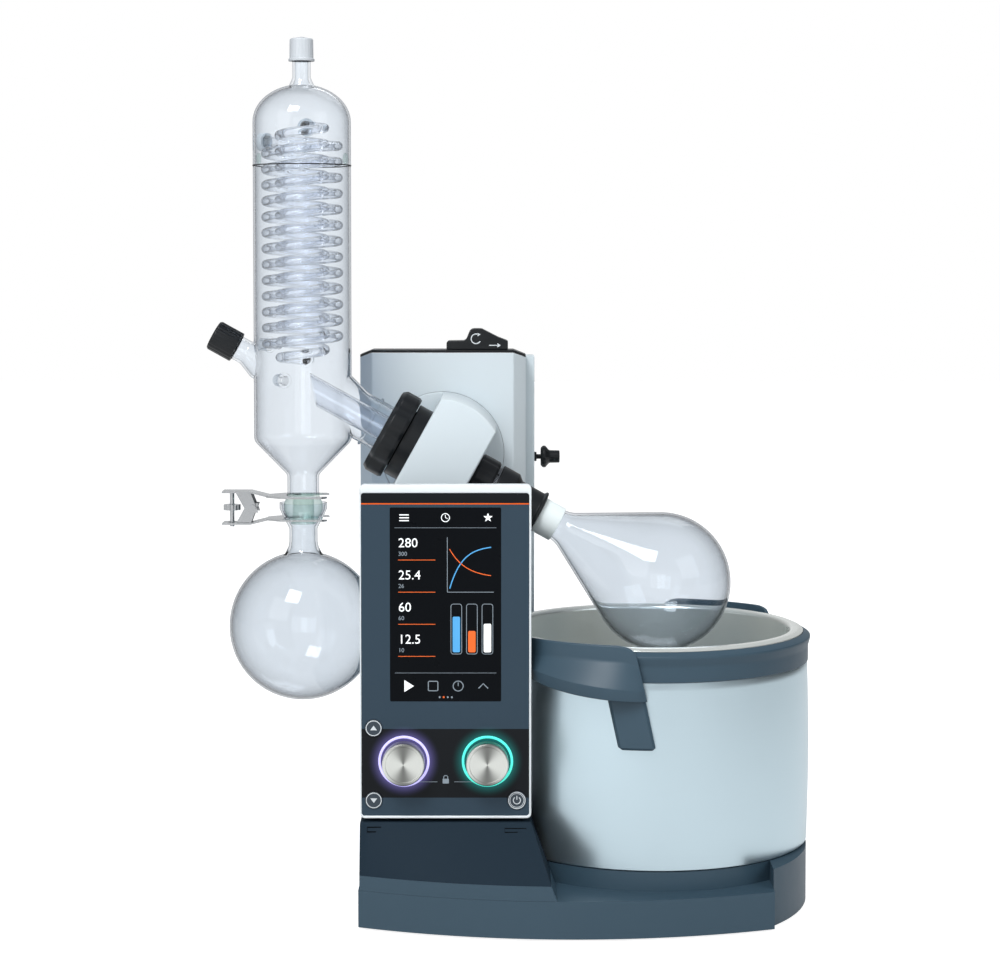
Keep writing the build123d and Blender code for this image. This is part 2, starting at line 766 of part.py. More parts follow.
def button(name):
    x, z, radius = button_places()[name]
    flange_back = PANE_BACK + RUN + BUTTON_FLANGE_T
    stem_end = min(BOARD_FRONT, FRAME_BACK) - BUTTON_TRAVEL - RUN
    body = turned(
        [
            (0, PANE_FRONT - BUTTON_PROUD),
            (radius, PANE_FRONT - BUTTON_PROUD, BUTTON_EDGE),
            (radius, PANE_BACK + RUN),
            (radius + BUTTON_FLANGE, PANE_BACK + RUN),
            (radius + BUTTON_FLANGE, flange_back),
            (BUTTON_STEM_R, flange_back),
            (BUTTON_STEM_R, stem_end),
            (0, stem_end),
        ]
    )
    return facing_user(body, x, z)


def mains_inlet():
    half, up = INLET_W / 2, INLET_H / 2
    low = (INLET_X - half, BASE_BACK - INLET_D, INLET_Z - up)
    body = box_between(low, (INLET_X + half, BASE_BACK, INLET_Z + up))
    side, top = half - INLET_RIM, up - INLET_RIM + 0.5
    cut_side, cut_top = side - INLET_CUT, top - INLET_CUT
    right_half = [(side, -top), (side, cut_top), (cut_side, top)]
    left_half = [(-x, z) for x, z in reversed(right_half)]
    cavity = outline(right_half + left_half)
    body -= Pos(INLET_X, 0, INLET_Z) * along_y(cavity, BASE_BACK - INLET_DEEP, BASE_BACK + 1)
    middle = BASE_BACK - INLET_DEEP - SEAT + INLET_PIN_L / 2
    for dx, dz in ((-INLET_PIN_STEP, -INLET_PIN_UP), (INLET_PIN_STEP, -INLET_PIN_UP), (0, INLET_PIN_UP)):
        body += Pos(INLET_X + dx, middle, INLET_Z + dz) * Box(INLET_PIN_W, INLET_PIN_L, INLET_PIN_H)
    return body


def mains_switch():
    half = SWITCH_W / 2 - RUN
    profile = [
        (-SWITCH_D, -SWITCH_BACK_HALF),
        (0, -SWITCH_HALF),
        (SWITCH_PROUD, -SWITCH_HALF),
        (SWITCH_LEVEL, 0),
        (SWITCH_LEVEL, SWITCH_HALF),
        (-SWITCH_D, SWITCH_BACK_HALF),
    ]
    bore = Pos(0, -SWITCH_PIVOT, 0) * Rot(0, 90, 0) * Cylinder(SWITCH_PIVOT_R, SWITCH_W)
    return Pos(SWITCH_X, BASE_BACK, INLET_Z) * (along_x(profile, -half, half) - bore)


def bath_socket():
    body = turned(
        [
            (0, DECK_TOP - BASE_WALL),
            (SPIGOT_R - SPIGOT_STEP, DECK_TOP - BASE_WALL),
            (SPIGOT_R - SPIGOT_STEP, DECK_TOP),
            (SPIGOT_R, DECK_TOP),
            (SPIGOT_R, DECK_TOP + SPIGOT_H, SPIGOT_EDGE),
            (0, DECK_TOP + SPIGOT_H),
        ]
    )
    return Pos(BATH_X, 0) * body


def lift_mast():
    half, depth, wall = MAST_W / 2, MAST_D / 2, MAST_WALL
    channel = outline(
        [
            (-half, -depth),
            (-half + wall, -depth),
            (-half + wall, depth - wall),
            (half - wall, depth - wall),
            (half - wall, -depth),
            (half, -depth),
            (half, depth),
            (-half, depth),
        ]
    )
    body = prism(channel, DECK_TOP, MAST_TOP)
    foot = Rectangle(MAST_W + 24, MAST_D + 10) - Circle(SPINDLE_R + 2 * RUN)
    return Pos(PIVOT_X, MAST_Y) * (body + prism(foot, DECK_TOP, DECK_TOP + MAST_FOOT))


def lift_motor():
    half = LIFT_MOTOR_W / 2
    top = DECK_TOP - BASE_WALL
    square = outline([(-half, -half, 5), (half, -half, 5), (half, half, 5), (-half, half, 5)])
    body = prism(square, top - LIFT_MOTOR_H, top)
    return Pos(PIVOT_X, MAST_Y) * (body - rod(SPINDLE_R + RUN, top - LIFT_MOTOR_H / 2, top))


def lift_spindle():
    low = DECK_TOP - BASE_WALL - LIFT_MOTOR_H / 2 + RUN
    return Pos(PIVOT_X, MAST_Y) * rod(SPINDLE_R, low, MAST_TOP - RUN)


def lift_carriage():
    half = MAST_W / 2 - MAST_WALL - PAD_T - RUN
    top = PIVOT_Z - CARRIAGE_DROP
    back = MAST_Y + MAST_D / 2 - MAST_WALL - RUN - 1
    body = box_between(
        (PIVOT_X - half, TOWER_FRONT + TOWER_WALL, top - CARRIAGE_H), (PIVOT_X + half, back, top)
    )
    relief_h = CARRIAGE_H / 2
    body -= box_between(
        (PIVOT_X - half - 1, TOWER_FRONT + TOWER_WALL + 5, top - CARRIAGE_H / 2 - relief_h / 2),
        (PIVOT_X + half + 1, MAST_Y - SPINDLE_R - 6, top - CARRIAGE_H / 2 + relief_h / 2),
    )
    return body - Pos(PIVOT_X, MAST_Y) * rod(SPINDLE_R + RUN, 0, MAST_TOP)


def guide_pads():
    top = PIVOT_Z - CARRIAGE_DROP
    edge = MAST_W / 2 - MAST_WALL - RUN
    pads = []
    for side in (-1, 1):
        for low in (top - CARRIAGE_H + PAD_EDGE, top - PAD_EDGE - PAD_H):
            middle = PIVOT_X + side * (edge - PAD_T / 2)
            pads.append(Pos(middle, MAST_Y, low + PAD_H / 2) * Box(PAD_T, MAST_D / 2, PAD_H))
    return Compound(pads)


def tower_plan(inset):
    flat_left = PIVOT_X - TOWER_FLAT_HALF
    flat_right = PIVOT_X + TOWER_FLAT_HALF
    slope = inset * 0.55
    return outline(
        [
            (flat_left + slope, TOWER_FRONT + inset),
            (flat_right - slope, TOWER_FRONT + inset),
            (TOWER_RIGHT - inset, CHAMFER_Y + slope),
            (TOWER_RIGHT - inset, TOWER_SPLIT),
            (TOWER_LEFT + inset, TOWER_SPLIT),
            (TOWER_LEFT + inset, CHAMFER_Y + slope),
        ]
    )


def tower_top(rise, low):
    """The tower's top seen from the front: level over the flat, falling to both sides."""
    flat_left = PIVOT_X - TOWER_FLAT_HALF
    flat_right = PIVOT_X + TOWER_FLAT_HALF
    side = TOWER_TOP - TOWER_SLOPE + rise
    return outline(
        [
            (TOWER_LEFT, low),
            (TOWER_RIGHT, low),
            (TOWER_RIGHT, side),
            (flat_right, TOWER_TOP + rise),
            (flat_left, TOWER_TOP + rise),
            (TOWER_LEFT, side),
        ]
    )


def tower_shell():
    body = along_y(tower_top(0, TOWER_LOW), TOWER_FRONT, TOWER_SPLIT) & prism(
        tower_plan(0), TOWER_LOW, TOWER_TOP
    )
    body -= prism(tower_plan(TOWER_WALL), TOWER_LOW - 1, TOWER_TOP + 1)
    body -= box_between(
        (TOWER_LEFT + TOWER_WALL, TOWER_SPLIT - TOWER_WALL - 2, TOWER_LOW - 1),
        (TOWER_RIGHT - TOWER_WALL, TOWER_SPLIT + 1, TOWER_TOP + 1),
    )
    ring = Pos(PIVOT_X, PIVOT_Z) * Circle(HEAD_R + RUN)
    opening = along_y(ring, TOWER_FRONT - 1, TOWER_FRONT + TOWER_WALL + 1)
    return body - opening


def tower_cap():
    body = along_y(tower_top(CAP_T, TOWER_TOP - 2 * TOWER_SLOPE), TOWER_FRONT, TOWER_SPLIT)
    body -= along_y(tower_top(0, TOWER_TOP - 3 * TOWER_SLOPE), TOWER_FRONT - 1, TOWER_SPLIT + 1)
    body = body & prism(tower_plan(0), 0, TOWER_TOP + 2 * CAP_T)
    left = PIVOT_X + SLIDER_LEFT + SLIDER_L / 2 - SLIDER_FOOT / 2 - RUN
    middle_y = TOWER_FRONT + TOWER_WALL + RUN + SLIDER_D / 2
    slot_l = SLIDER_FOOT + SLIDER_TRAVEL + 2 * RUN
    slot = box_between(
        (left, middle_y - SLIDER_NECK / 2 - RUN, TOWER_TOP - CAP_T),
        (left + slot_l, middle_y + SLIDER_NECK / 2 + RUN, TOWER_TOP + 3 * CAP_T),
    )
    return body - slot


def tower_back():
    right = TOWER_RIGHT + TOWER_STEP
    high = TOWER_TOP - TOWER_SLOPE
    front = TOWER_SPLIT + SEAT
    body = prism(
        outline([(TOWER_LEFT, front), (right, front), (right, TOWER_BACK, 6), (TOWER_LEFT, TOWER_BACK, 6)]),
        TOWER_LOW,
        high,
    )
    body -= box_between(
        (TOWER_LEFT + TOWER_WALL, front + TOWER_WALL, TOWER_LOW - 1),
        (right - TOWER_WALL, TOWER_BACK - TOWER_WALL, high - TOWER_WALL),
    )
    body -= box_between(
        (TOWER_LEFT + TOWER_WALL, front - 1, TOWER_LOW - 1),
        (TOWER_RIGHT - TOWER_WALL, front + TOWER_WALL + 1, high - TOWER_WALL),
    )
    hole = rod(STOP_SHAFT_R + RUN, right - 2 * TOWER_WALL, right + 1)
    hole = Pos(0, STOP_Y, STOP_Z) * Rot(0, 90, 0) * hole
    return body - hole


def tilt_ring():
    back = TOWER_FRONT + TOWER_WALL
    ring = tube(HEAD_R + 5, TRUNNION_R + RUN, back, back + TILT_RING_T)
    return facing_user(ring, PIVOT_X, PIVOT_Z)


def release_slider():
    low = TOWER_TOP + CAP_T + RUN / 2
    left = PIVOT_X + SLIDER_LEFT
    hump = left + SLIDER_L / 2
    right = left + SLIDER_L
    front = TOWER_FRONT + TOWER_WALL + RUN
    side = outline(
        [
            (left, low),
            (right, low),
            (right, low + SLIDER_H, 2.0),
            (right - SLIDER_L * 0.12, low + SLIDER_H, 4.0),
            (hump + SLIDER_L * 0.05, low + SLIDER_HUMP, 5.0),
            (hump - SLIDER_L * 0.09, low + SLIDER_HUMP, 3.0),
            (hump - SLIDER_L * 0.1, low + SLIDER_H, 1.5),
            (left, low + SLIDER_H, 1.5),
        ]
    )
    body = along_y(side, front, front + SLIDER_D)
    foot_x = hump
    foot_y = front + SLIDER_D / 2
    neck_low = TOWER_TOP - RUN / 2
    body += box_between(
        (foot_x - SLIDER_FOOT / 2, foot_y - SLIDER_NECK / 2, neck_low - 3),
        (foot_x + SLIDER_FOOT / 2, foot_y + SLIDER_NECK / 2, low),
    )
    body += box_between(
        (foot_x - SLIDER_FOOT / 2, foot_y - SLIDER_NECK / 2 - 3, neck_low - 3),
        (foot_x + SLIDER_FOOT / 2, foot_y + SLIDER_NECK / 2 + 3, neck_low),
    )
    return body


def stop_knob():
    wall = TOWER_RIGHT + TOWER_STEP
    body = turned(
        [
            (0, wall - 2 * TOWER_WALL - 4),
            (STOP_SHAFT_R, wall - 2 * TOWER_WALL - 4),
            (STOP_SHAFT_R, wall + RUN),
            (2 * STOP_SHAFT_R, wall + RUN),
            (2 * STOP_SHAFT_R, wall + RUN + 2),
            (STOP_SHAFT_R, wall + RUN + 2),
            (STOP_SHAFT_R, wall + STOP_OUT / 4),
            (STOP_FLANGE_R - 2, wall + STOP_OUT / 4),
            (STOP_FLANGE_R, wall + STOP_OUT / 4 + 2),
            (STOP_FLANGE_R, wall + STOP_OUT / 2 - 1.5, 1.5),
            (STOP_GRIP_R, wall + STOP_OUT / 2 + 2, 3),
            (STOP_GRIP_R, wall + STOP_OUT, 1),
            (0, wall + STOP_OUT),
        ]
    )
    return Pos(0, STOP_Y, STOP_Z) * Rot(0, 90, 0) * body


def head_housing():
    disc = Pos(PIVOT_X, PIVOT_Z) * Circle(HEAD_R)
    body = along_y(disc, HEAD_FRONT, TOWER_FRONT - RUN)
    block = on_drive(
        box_between((-2 * HEAD_R, -2 * HEAD_R, HEAD_LEFT), (2 * HEAD_R, 2 * HEAD_R, HEAD_RIGHT))
    )
    body = body & block
    front_edges = body.edges().filter_by(lambda e: abs(e.center().Y - HEAD_FRONT) < 1e-3)
    body = fillet(front_edges, HEAD_EDGE)
    body -= on_drive(rod(BORE_R, HEAD_LEFT - 1, HEAD_RIGHT - 4))
    body -= on_drive(rod(SHAFT_R + 2 * RUN, HEAD_LEFT, HEAD_RIGHT + 1))
    motor_room = rod(MOTOR_R + SEAT, MOTOR_A, PULLEY_A + PULLEY_W + 2)
    belt_room = prism(belt_loop(BELT_T + 3 * RUN), PULLEY_A - RUN, PULLEY_A + PULLEY_W + RUN)
    body -= on_drive(Pos(0, -MOTOR_BACK, 0) * motor_room + belt_room)
    back = TOWER_FRONT + TOWER_WALL + TILT_RING_T + RUN
    body += facing_user(rod(HEAD_R, TOWER_FRONT - RUN, TOWER_FRONT + TOWER_WALL - RUN), PIVOT_X, PIVOT_Z)
    body += facing_user(rod(TRUNNION_R, TOWER_FRONT, back), PIVOT_X, PIVOT_Z)
    return body + facing_user(rod(HEAD_R - RUN, back, back + TILT_FLANGE), PIVOT_X, PIVOT_Z)


def drive_motor():
    body = turned([(0, MOTOR_A), (MOTOR_R, MOTOR_A, 2), (MOTOR_R, MOTOR_B, 2), (0, MOTOR_B)])
    body -= rod(MOTOR_SHAFT_R + RUN, MOTOR_A + MOTOR_BLIND, MOTOR_B + 1)
    return on_drive(Pos(0, -MOTOR_BACK, 0) * body)


def motor_pulley():
    body = turned(
        [
            (0, MOTOR_A + MOTOR_BLIND + RUN),
            (MOTOR_SHAFT_R, MOTOR_A + MOTOR_BLIND + RUN),
            (MOTOR_SHAFT_R, PULLEY_A),
            (MOTOR_PULLEY_R, PULLEY_A),
            (MOTOR_PULLEY_R, PULLEY_A + PULLEY_W),
            (0, PULLEY_A + PULLEY_W),
        ]
    )
    return on_drive(Pos(0, -MOTOR_BACK, 0) * body)


def belt_loop(grow):
    """The belt's path round both pulleys, as a filled outline."""
    big, small = PULLEY_R + grow, MOTOR_PULLEY_R + grow
    lean = (big - small) / MOTOR_BACK
    rise = sqrt(1 - lean**2)
    right = [(big * rise, -big * lean), (small * rise, -MOTOR_BACK - small * lean)]
    left = [(-x, y) for x, y in right]
    return make_face(
        [
            ThreePointArc(right[0], (0, big), left[0]),
            Line(left[0], left[1]),
            ThreePointArc(left[1], (0, -MOTOR_BACK - small), right[1]),
            Line(right[1], right[0]),
        ]
    )


def drive_belt():
    loop = belt_loop(RUN + BELT_T) - belt_loop(RUN)
    return on_drive(prism(loop, PULLEY_A + 1, PULLEY_A + PULLEY_W - 1))


def bearings():
    rings = [
        tube(BORE_R - SEAT, SHAFT_R + RUN, start, start + BEARING_W) for start in (BEARING_A, BEARING_B)
    ]
    return Compound([on_drive(ring) for ring in rings])


def vacuum_seal():
    end = HEAD_LEFT - RUN
    body = tube(SEAL_R, DUCT_R + RUN, end - SEAL_T, end)
    body -= tube(SEAL_R - 3, SEAL_R - 6, end - SEAL_T - 1, end - SEAL_T / 2)
    return on_drive(body)


def thread_ring():
    body = turned(
        [
            (SEAL_R + SEAT, HEAD_LEFT),
            (THREAD_RING_R, HEAD_LEFT),
            (THREAD_RING_R, THREAD_RING_A + 1),
            (THREAD_RING_R - 1, THREAD_RING_A),
            (SPIGOT_THREAD_R, THREAD_RING_A),
            (SPIGOT_THREAD_R, ARM_END),
            (SEAL_R + SEAT, ARM_END),
        ]
    )
    return on_drive(body)


def scalloped(radius, count, scallop, bite):
    """A round grip with hollows round it."""
    face = Circle(radius)
    for i in range(count):
        face -= Rot(0, 0, 360 / count * i) * Pos(radius + scallop - bite, 0) * Circle(scallop)
    return face


def union_nut():
    face = scalloped(UNION_R, UNION_LOBES, UNION_SCALLOP, UNION_BITE)
    body = prism(face, UNION_A, THREAD_RING_A - RUN)
    body -= rod(ARM_R + 2 * RUN, UNION_A - 1, UNION_A + UNION_LIP)
    body -= rod(SPIGOT_THREAD_R + RUN, UNION_A + UNION_LIP - 1, THREAD_RING_A)
    return on_drive(body)


def hollow_shaft():
    nose = COLLAR_A + NOSE_FACE
    body = turned(
        [
            (DUCT_R + SEAT, HEAD_LEFT),
            (SHAFT_R, HEAD_LEFT),
            (SHAFT_R, PULLEY_A),
            (PULLEY_R, PULLEY_A),
            (PULLEY_R, PULLEY_A + PULLEY_W),
            (SHAFT_R, PULLEY_A + PULLEY_W),
            (SHAFT_R, HEAD_RIGHT + RUN),
            (NOSE_R, HEAD_RIGHT + RUN),
            (NOSE_R, COLLAR_A),
            (NOSE_R - 2, COLLAR_A),
            (NOSE_R - 2, nose),
            (DUCT_R + SEAT, nose),
        ]
    )
    return on_drive(body)


def push_off_nut():
    face = scalloped(PUSH_R, PUSH_GRIPS, PUSH_SCALLOP, PUSH_BITE) - Circle(NOSE_R + RUN)
    return on_drive(prism(face, PUSH_A, PUSH_B))


def flask_clip():
    neck = NECK_R + SEAT
    body = turned(
        [
            (NOSE_R - 2 + SEAT, COLLAR_A + SEAT),
            (COLLAR_R, COLLAR_A + SEAT, 1),
            (COLLAR_R, COLLAR_B, CLIP_LIP),
            (CLIP_R, COLLAR_B + CLIP_LIP),
            (CLIP_R, CLIP_B - CLIP_TIP_L),
            (CLIP_R + CLIP_TIP, CLIP_B - CLIP_LIP, 1),
            (CLIP_R, CLIP_B, 1),
            (neck, CLIP_B),
            (neck, COLLAR_A + CLIP_SEAT),
            (NOSE_R - NOSE_STEP + SEAT, COLLAR_A + CLIP_SEAT),
        ]
    )
    return on_drive(body)


def flask_sleeve():
    return on_drive(
        turned(
            [
                (NECK_R + SEAT, CLIP_B + SEAT),
                (SLEEVE_R, CLIP_B + SEAT),
                (SLEEVE_R, SLEEVE_B, 1),
                (NECK_R + SEAT, SLEEVE_B),
            ]
        )
    )


def vapour_duct():
    body = tube(DUCT_R, DUCT_R - DUCT_WALL, DUCT_A, DUCT_B)
    side = 4 * DUCT_R
    wedge = Pos(0, 0, DUCT_A) * Rot(0, DUCT_SLANT, 0) * box_between((-side, -side, -side), (side, side, 0))
    return on_drive(body - wedge)


def flask_solid(radius, neck, start):
    """Neck, cone and ball of the evaporating flask, with the cone running smoothly into the ball."""
    lean = radians(FLASK_CONE)
    touch = (radius * cos(lean), FLASK_T - radius * sin(lean))
    apex = FLASK_T - radius / sin(lean)
    shoulder = apex + neck / tan(lean)
    side = (radius * cos(-lean / 2 + pi / 8), FLASK_T + radius * sin(-lean / 2 + pi / 8))
    edges = [
        Line((0, start), (neck, start)),
        Line((neck, start), (neck, shoulder)),
        Line((neck, shoulder), touch),
        ThreePointArc(touch, side, (0, FLASK_T + radius)),
        Line((0, FLASK_T + radius), (0, start)),
    ]
    return revolve(Plane.XZ * make_face(edges), Axis.Z)


def evaporating_flask():
    start = COLLAR_A + CLIP_SEAT + SEAT
    outer = flask_solid(FLASK_R, NECK_R, start)
    return on_drive(outer - flask_solid(FLASK_R - GLASS, NECK_R - GLASS, start - 1))


def bulb_solid(radius, neck, blend, top):
    """Ball and upright neck of the receiving flask, with a rounded throat."""
    rise = sqrt((radius + blend) ** 2 - (neck + blend) ** 2)
    scale = radius / (radius + blend)
    touch = ((neck + blend) * scale, RECEIVER_Z + rise * scale)
    throat = (neck, RECEIVER_Z + rise)
    lean = (Vector(*touch) - Vector(neck + blend, throat[1])).normalized()
    middle = Vector(neck + blend, throat[1]) + (lean + Vector(-1, 0)).normalized() * blend
    edges = [
        ThreePointArc((0, RECEIVER_Z - radius), (radius, RECEIVER_Z), touch),
        ThreePointArc(touch, (middle.X, middle.Y), throat),
        Line(throat, (neck, top)),
        Line((neck, top), (0, top)),
        Line((0, top), (0, RECEIVER_Z - radius)),
    ]
    return revolve(Plane.XZ * make_face(edges), Axis.Z)


def receiving_flask():
    low = BALL_Z - CUP_DROP
    top = BALL_Z + CUP_RISE
    body = bulb_solid(RECEIVER_R, RECEIVER_NECK_R, NECK_BLEND, low + 1)
    body += turned([(0, low), (RECEIVER_NECK_R, low), (CUP_R, top - CUP_EDGE), (CUP_R, top), (0, top)])
    body -= bulb_solid(RECEIVER_R - GLASS, RECEIVER_NECK_R - GLASS, NECK_BLEND + GLASS, BALL_Z)
    return on_condenser(body - Pos(0, 0, BALL_Z) * Sphere(BALL_R + RUN))


def condenser_solid(inset):
    """The condenser body, or with an inset the room inside it."""
    radius, drain, neck = COND_R - inset, DRAIN_R - inset, COND_NECK_R - inset
    edges = [
        Line((0, BALL_Z), (drain, BALL_Z)),
        Line((drain, BALL_Z), (drain, DRAIN_TOP)),
        Line((drain, DRAIN_TOP), (radius, COND_LOW)),
        Line((radius, COND_LOW), (radius, COND_SHOULDER)),
        EllipticalCenterArc((0, COND_SHOULDER), radius, COND_DOME - inset, start_angle=0, arc_size=75),
    ]
    shoulder = edges[-1] @ 1
    edges += [
        Line(shoulder, (neck, DOME_TOP + NECK_FOOT)),
        Line((neck, DOME_TOP + NECK_FOOT), (neck, COND_TOP)),
        Line((neck, COND_TOP), (0, COND_TOP)),
        Line((0, COND_TOP), (0, BALL_Z)),
    ]
    body = on_condenser(revolve(Plane.XZ * make_face(edges), Axis.Z))
    arm = turned(
        [
            (0, ARM_FLARE_A),
            (ARM_FLARE_R - inset, ARM_FLARE_A),
            (ARM_R - inset, ARM_FLARE_B),
            (ARM_R - inset, ARM_END - SEAT + inset),
            (0, ARM_END - SEAT + inset),
        ]
    )
    port_end = SIDE_CAP_A + CAP_WALL + SEAT - inset
    port = turned(
        [
            (0, -COND_REACH),
            (SIDE_PORT_FLARE - inset, -COND_REACH - COND_R),
            (SIDE_PORT_R - inset, -COND_REACH - COND_R - 14),
            (SIDE_PORT_R - inset, port_end),
            (0, port_end),
        ]
    )
    return body + on_drive(arm + port)


def port_places():
    """Angle and height of the coolant ports: two coils, low and high ends."""
    places = []
    for turns, angle in ((OUTER_TURNS, SIDE_ANGLE), (INNER_TURNS, REAR_ANGLE)):
        half = turns * COIL_PITCH / 2
        places += [(angle, COIL_MID_Z - half), (angle, COIL_MID_Z + half)]
    return places


def condenser():
    body = condenser_solid(0.0)
    bead_end = ARM_BEAD_A + ARM_BEAD_W
    body += on_drive(tube(ARM_BEAD_R, ARM_R - GLASS, ARM_BEAD_A, bead_end))
    flange_low = ARM_END - SEAT - ARM_FLANGE_T
    body += on_drive(tube(ARM_FLANGE_R, ARM_R - GLASS, flange_low, ARM_END - SEAT))
    body += on_condenser(Pos(0, 0, BALL_Z) * Sphere(BALL_R))
    bead_low = BALL_Z + CUP_RISE + SEAT
    bead_top = BALL_Z + CLAMP_HALF - CLAMP_T / 2 - SEAT
    body += on_condenser(
        turned(
            [
                (DRAIN_R - 1, bead_low),
                (CUP_R - 1, bead_low),
                (CUP_R - 1, (bead_low + bead_top) / 2),
                (DRAIN_R + BEAD_OUT, bead_top),
                (DRAIN_R - 1, bead_top),
            ]
        )
    )
    for angle, z in port_places() + [(VACUUM_ANGLE, VACUUM_Z)]:
        body += radial(rod(PORT_R, COND_R - GLASS, COND_R + PORT_L), angle, z)
        body += radial(rod(PORT_R + PORT_FOOT_OUT, COND_R - GLASS, COND_R + PORT_FOOT), angle, z)
    body -= condenser_solid(GLASS)
    for angle, z in port_places() + [(VACUUM_ANGLE, VACUUM_Z)]:
        body -= radial(rod(PORT_R - PORT_WALL, COND_R - 2 * GLASS, COND_R + PORT_L + 1), angle, z)
    body -= on_condenser(rod(BALL_BORE, BALL_Z - BALL_R - 1, BALL_Z + 1))
    flat = box_between((-BALL_R, -BALL_R, BALL_Z - BALL_R), (BALL_R, BALL_R, BALL_Z - CUP_DROP + 3))
    return body - on_condenser(flat)


def radial(shape, angle, z):
    """A shape built along Z, set to point outwards from the condenser axis."""
    return on_condenser(Pos(0, 0, z) * Rot(0, 0, angle) * Rot(0, 90, 0) * shape)


def coil(radius, turns, angle, sides):
    """A wound tube with a leg at each end that reaches the condenser wall."""
    height = turns * COIL_PITCH
    path = Helix(COIL_PITCH, height, radius)
    section = Plane(origin=path @ 0, z_dir=path % 0, x_dir=(1, 0, 0)) * RegularPolygon(COIL_TUBE_R, sides)
    body = sweep(section, path, is_frenet=True)
    leg = Rot(0, 90, 0) * rod(COIL_TUBE_R, radius, COND_R - GLASS - RUN)
    body = body + leg + Pos(0, 0, height) * leg
    return on_condenser(Pos(0, 0, COIL_MID_Z - height / 2) * Rot(0, 0, angle) * body)


def outer_coil():
    return coil(OUTER_COIL_R, OUTER_TURNS, SIDE_ANGLE, COIL_SIDES)


def inner_coil():
    return coil(INNER_COIL_R, INNER_TURNS, REAR_ANGLE, COIL_SIDES)


def screw_cap(radius, bore, length, grips):
    """A closed cap with a gripped wall, its open end down at Z = 0."""
    face = scalloped(radius, grips, radius * 0.2, radius * 0.05)
    return prism(face, 0, length) - rod(bore, -1, length - CAP_WALL)


def top_cap():
    cap = screw_cap(TOP_CAP_R, COND_NECK_R + RUN, TOP_CAP_H, CAP_GRIPS)
    cap += tube(TOP_CAP_R + TOP_CAP_RIM, COND_NECK_R + RUN, 0, TOP_CAP_FOOT)
    return on_condenser(Pos(0, 0, TOP_CAP_Z) * cap)


def side_port_cap():
    cap = screw_cap(SIDE_CAP_R, SIDE_PORT_R + RUN, SIDE_CAP_B - SIDE_CAP_A, CAP_GRIPS)
    return on_drive(Pos(0, 0, SIDE_CAP_B) * Rot(180, 0, 0) * cap)


def port_caps():
    caps = []
    for angle, z in port_places():
        if z > COIL_MID_Z:
            cap = tube(PORT_CAP_R, PORT_R + SEAT, COND_R + PORT_CAP_OUT, COND_R + PORT_CAP_OUT + PORT_CAP_L)
            caps.append(radial(cap, angle, z))
    return Compound(caps)


def clamp_fork(half_slot):
    """A forked plate round the neck, open to the right."""
    end = CLAMP_FORK
    plate = outline(
        [
            (CLAMP_BEND, -CLAMP_WIDTH / 2),
            (-CLAMP_FORK + 4, -CLAMP_FORK, 4),
            (end - 2, -CLAMP_FORK, 4),
            (end, -half_slot),
            (end, half_slot),
            (end - 2, CLAMP_FORK, 4),
            (-CLAMP_FORK + 4, CLAMP_FORK, 4),
            (CLAMP_BEND, CLAMP_WIDTH / 2),
        ]
    )
    slot = Circle(half_slot) + Pos(end, 0) * Rectangle(2 * end, 2 * half_slot)
    return plate - slot


def clamp_jaw(side, half_slot, cheek):
    """One jaw, above (1) or below (-1): fork, bent tail and two cheeks that carry the pin."""
    fork_z = BALL_Z + side * CLAMP_HALF
    tail_z = BALL_Z + side * CLAMP_TAIL_HALF
    half = CLAMP_T / 2
    body = prism(clamp_fork(half_slot), fork_z - half, fork_z + half)
    tail_end = CLAMP_BEND - 14
    bend = [
        (CLAMP_BEND + 2, fork_z - half),
        (CLAMP_BEND + 2, fork_z + half),
        (tail_end, tail_z + half),
        (CLAMP_TAIL, tail_z + half),
        (CLAMP_TAIL, tail_z - half),
        (tail_end, tail_z - half),
    ]
    body += along_y(outline(bend), -CLAMP_WIDTH / 2, CLAMP_WIDTH / 2)
    reach = BALL_Z - side * 4
    cheek_outline = outline(
        [(CLAMP_TAIL + 12, tail_z), (CLAMP_PIN - 5, reach), (CLAMP_PIN + 5, reach), (tail_end, tail_z)]
    )
    for sign in (-1, 1):
        low = sign * cheek - CLAMP_T / 2
        body += along_y(cheek_outline, low, low + CLAMP_T)
    pin_hole = Pos(CLAMP_PIN, 0, BALL_Z) * Rot(90, 0, 0) * Cylinder(CLAMP_PIN_R + RUN, CLAMP_WIDTH + 6)
    return body - pin_hole


def clamp_upper_jaw():
    """The upper jaw with its riveted pin and the screw that is fixed in its tail."""
    jaw = clamp_jaw(1, DRAIN_R + 1, CLAMP_WIDTH / 2 - CLAMP_T / 2)
    tail_z = BALL_Z + CLAMP_TAIL_HALF
    jaw += Pos(CLAMP_SCREW, 0) * rod(CLAMP_SCREW_R, BALL_Z - CLAMP_TAIL_HALF - 3, tail_z)
    pin = Pos(CLAMP_PIN, 0, BALL_Z) * Rot(90, 0, 0) * Cylinder(CLAMP_PIN_R, CLAMP_WIDTH)
    heads = Pos(CLAMP_PIN, 0, BALL_Z) * Rot(90, 0, 0) * Cylinder(CLAMP_PIN_R + 1.4, CLAMP_WIDTH + 2.4)
    between = Pos(CLAMP_PIN, 0, BALL_Z) * Box(20, CLAMP_WIDTH, 20)
    return on_condenser(jaw + pin + (heads - between))


def clamp_lower_jaw():
    fork_top = CUP_DROP - CLAMP_HALF + CLAMP_T / 2
    cup = RECEIVER_NECK_R + (CUP_R - RECEIVER_NECK_R) * fork_top / (CUP_DROP + CUP_RISE - CUP_EDGE)
    jaw = clamp_jaw(-1, cup + RUN, CLAMP_WIDTH / 2 - 2 * CLAMP_T - RUN)
    jaw -= Pos(CLAMP_SCREW, 0) * rod(2 * CLAMP_SCREW_R, 0, COND_TOP)
    return on_condenser(jaw)


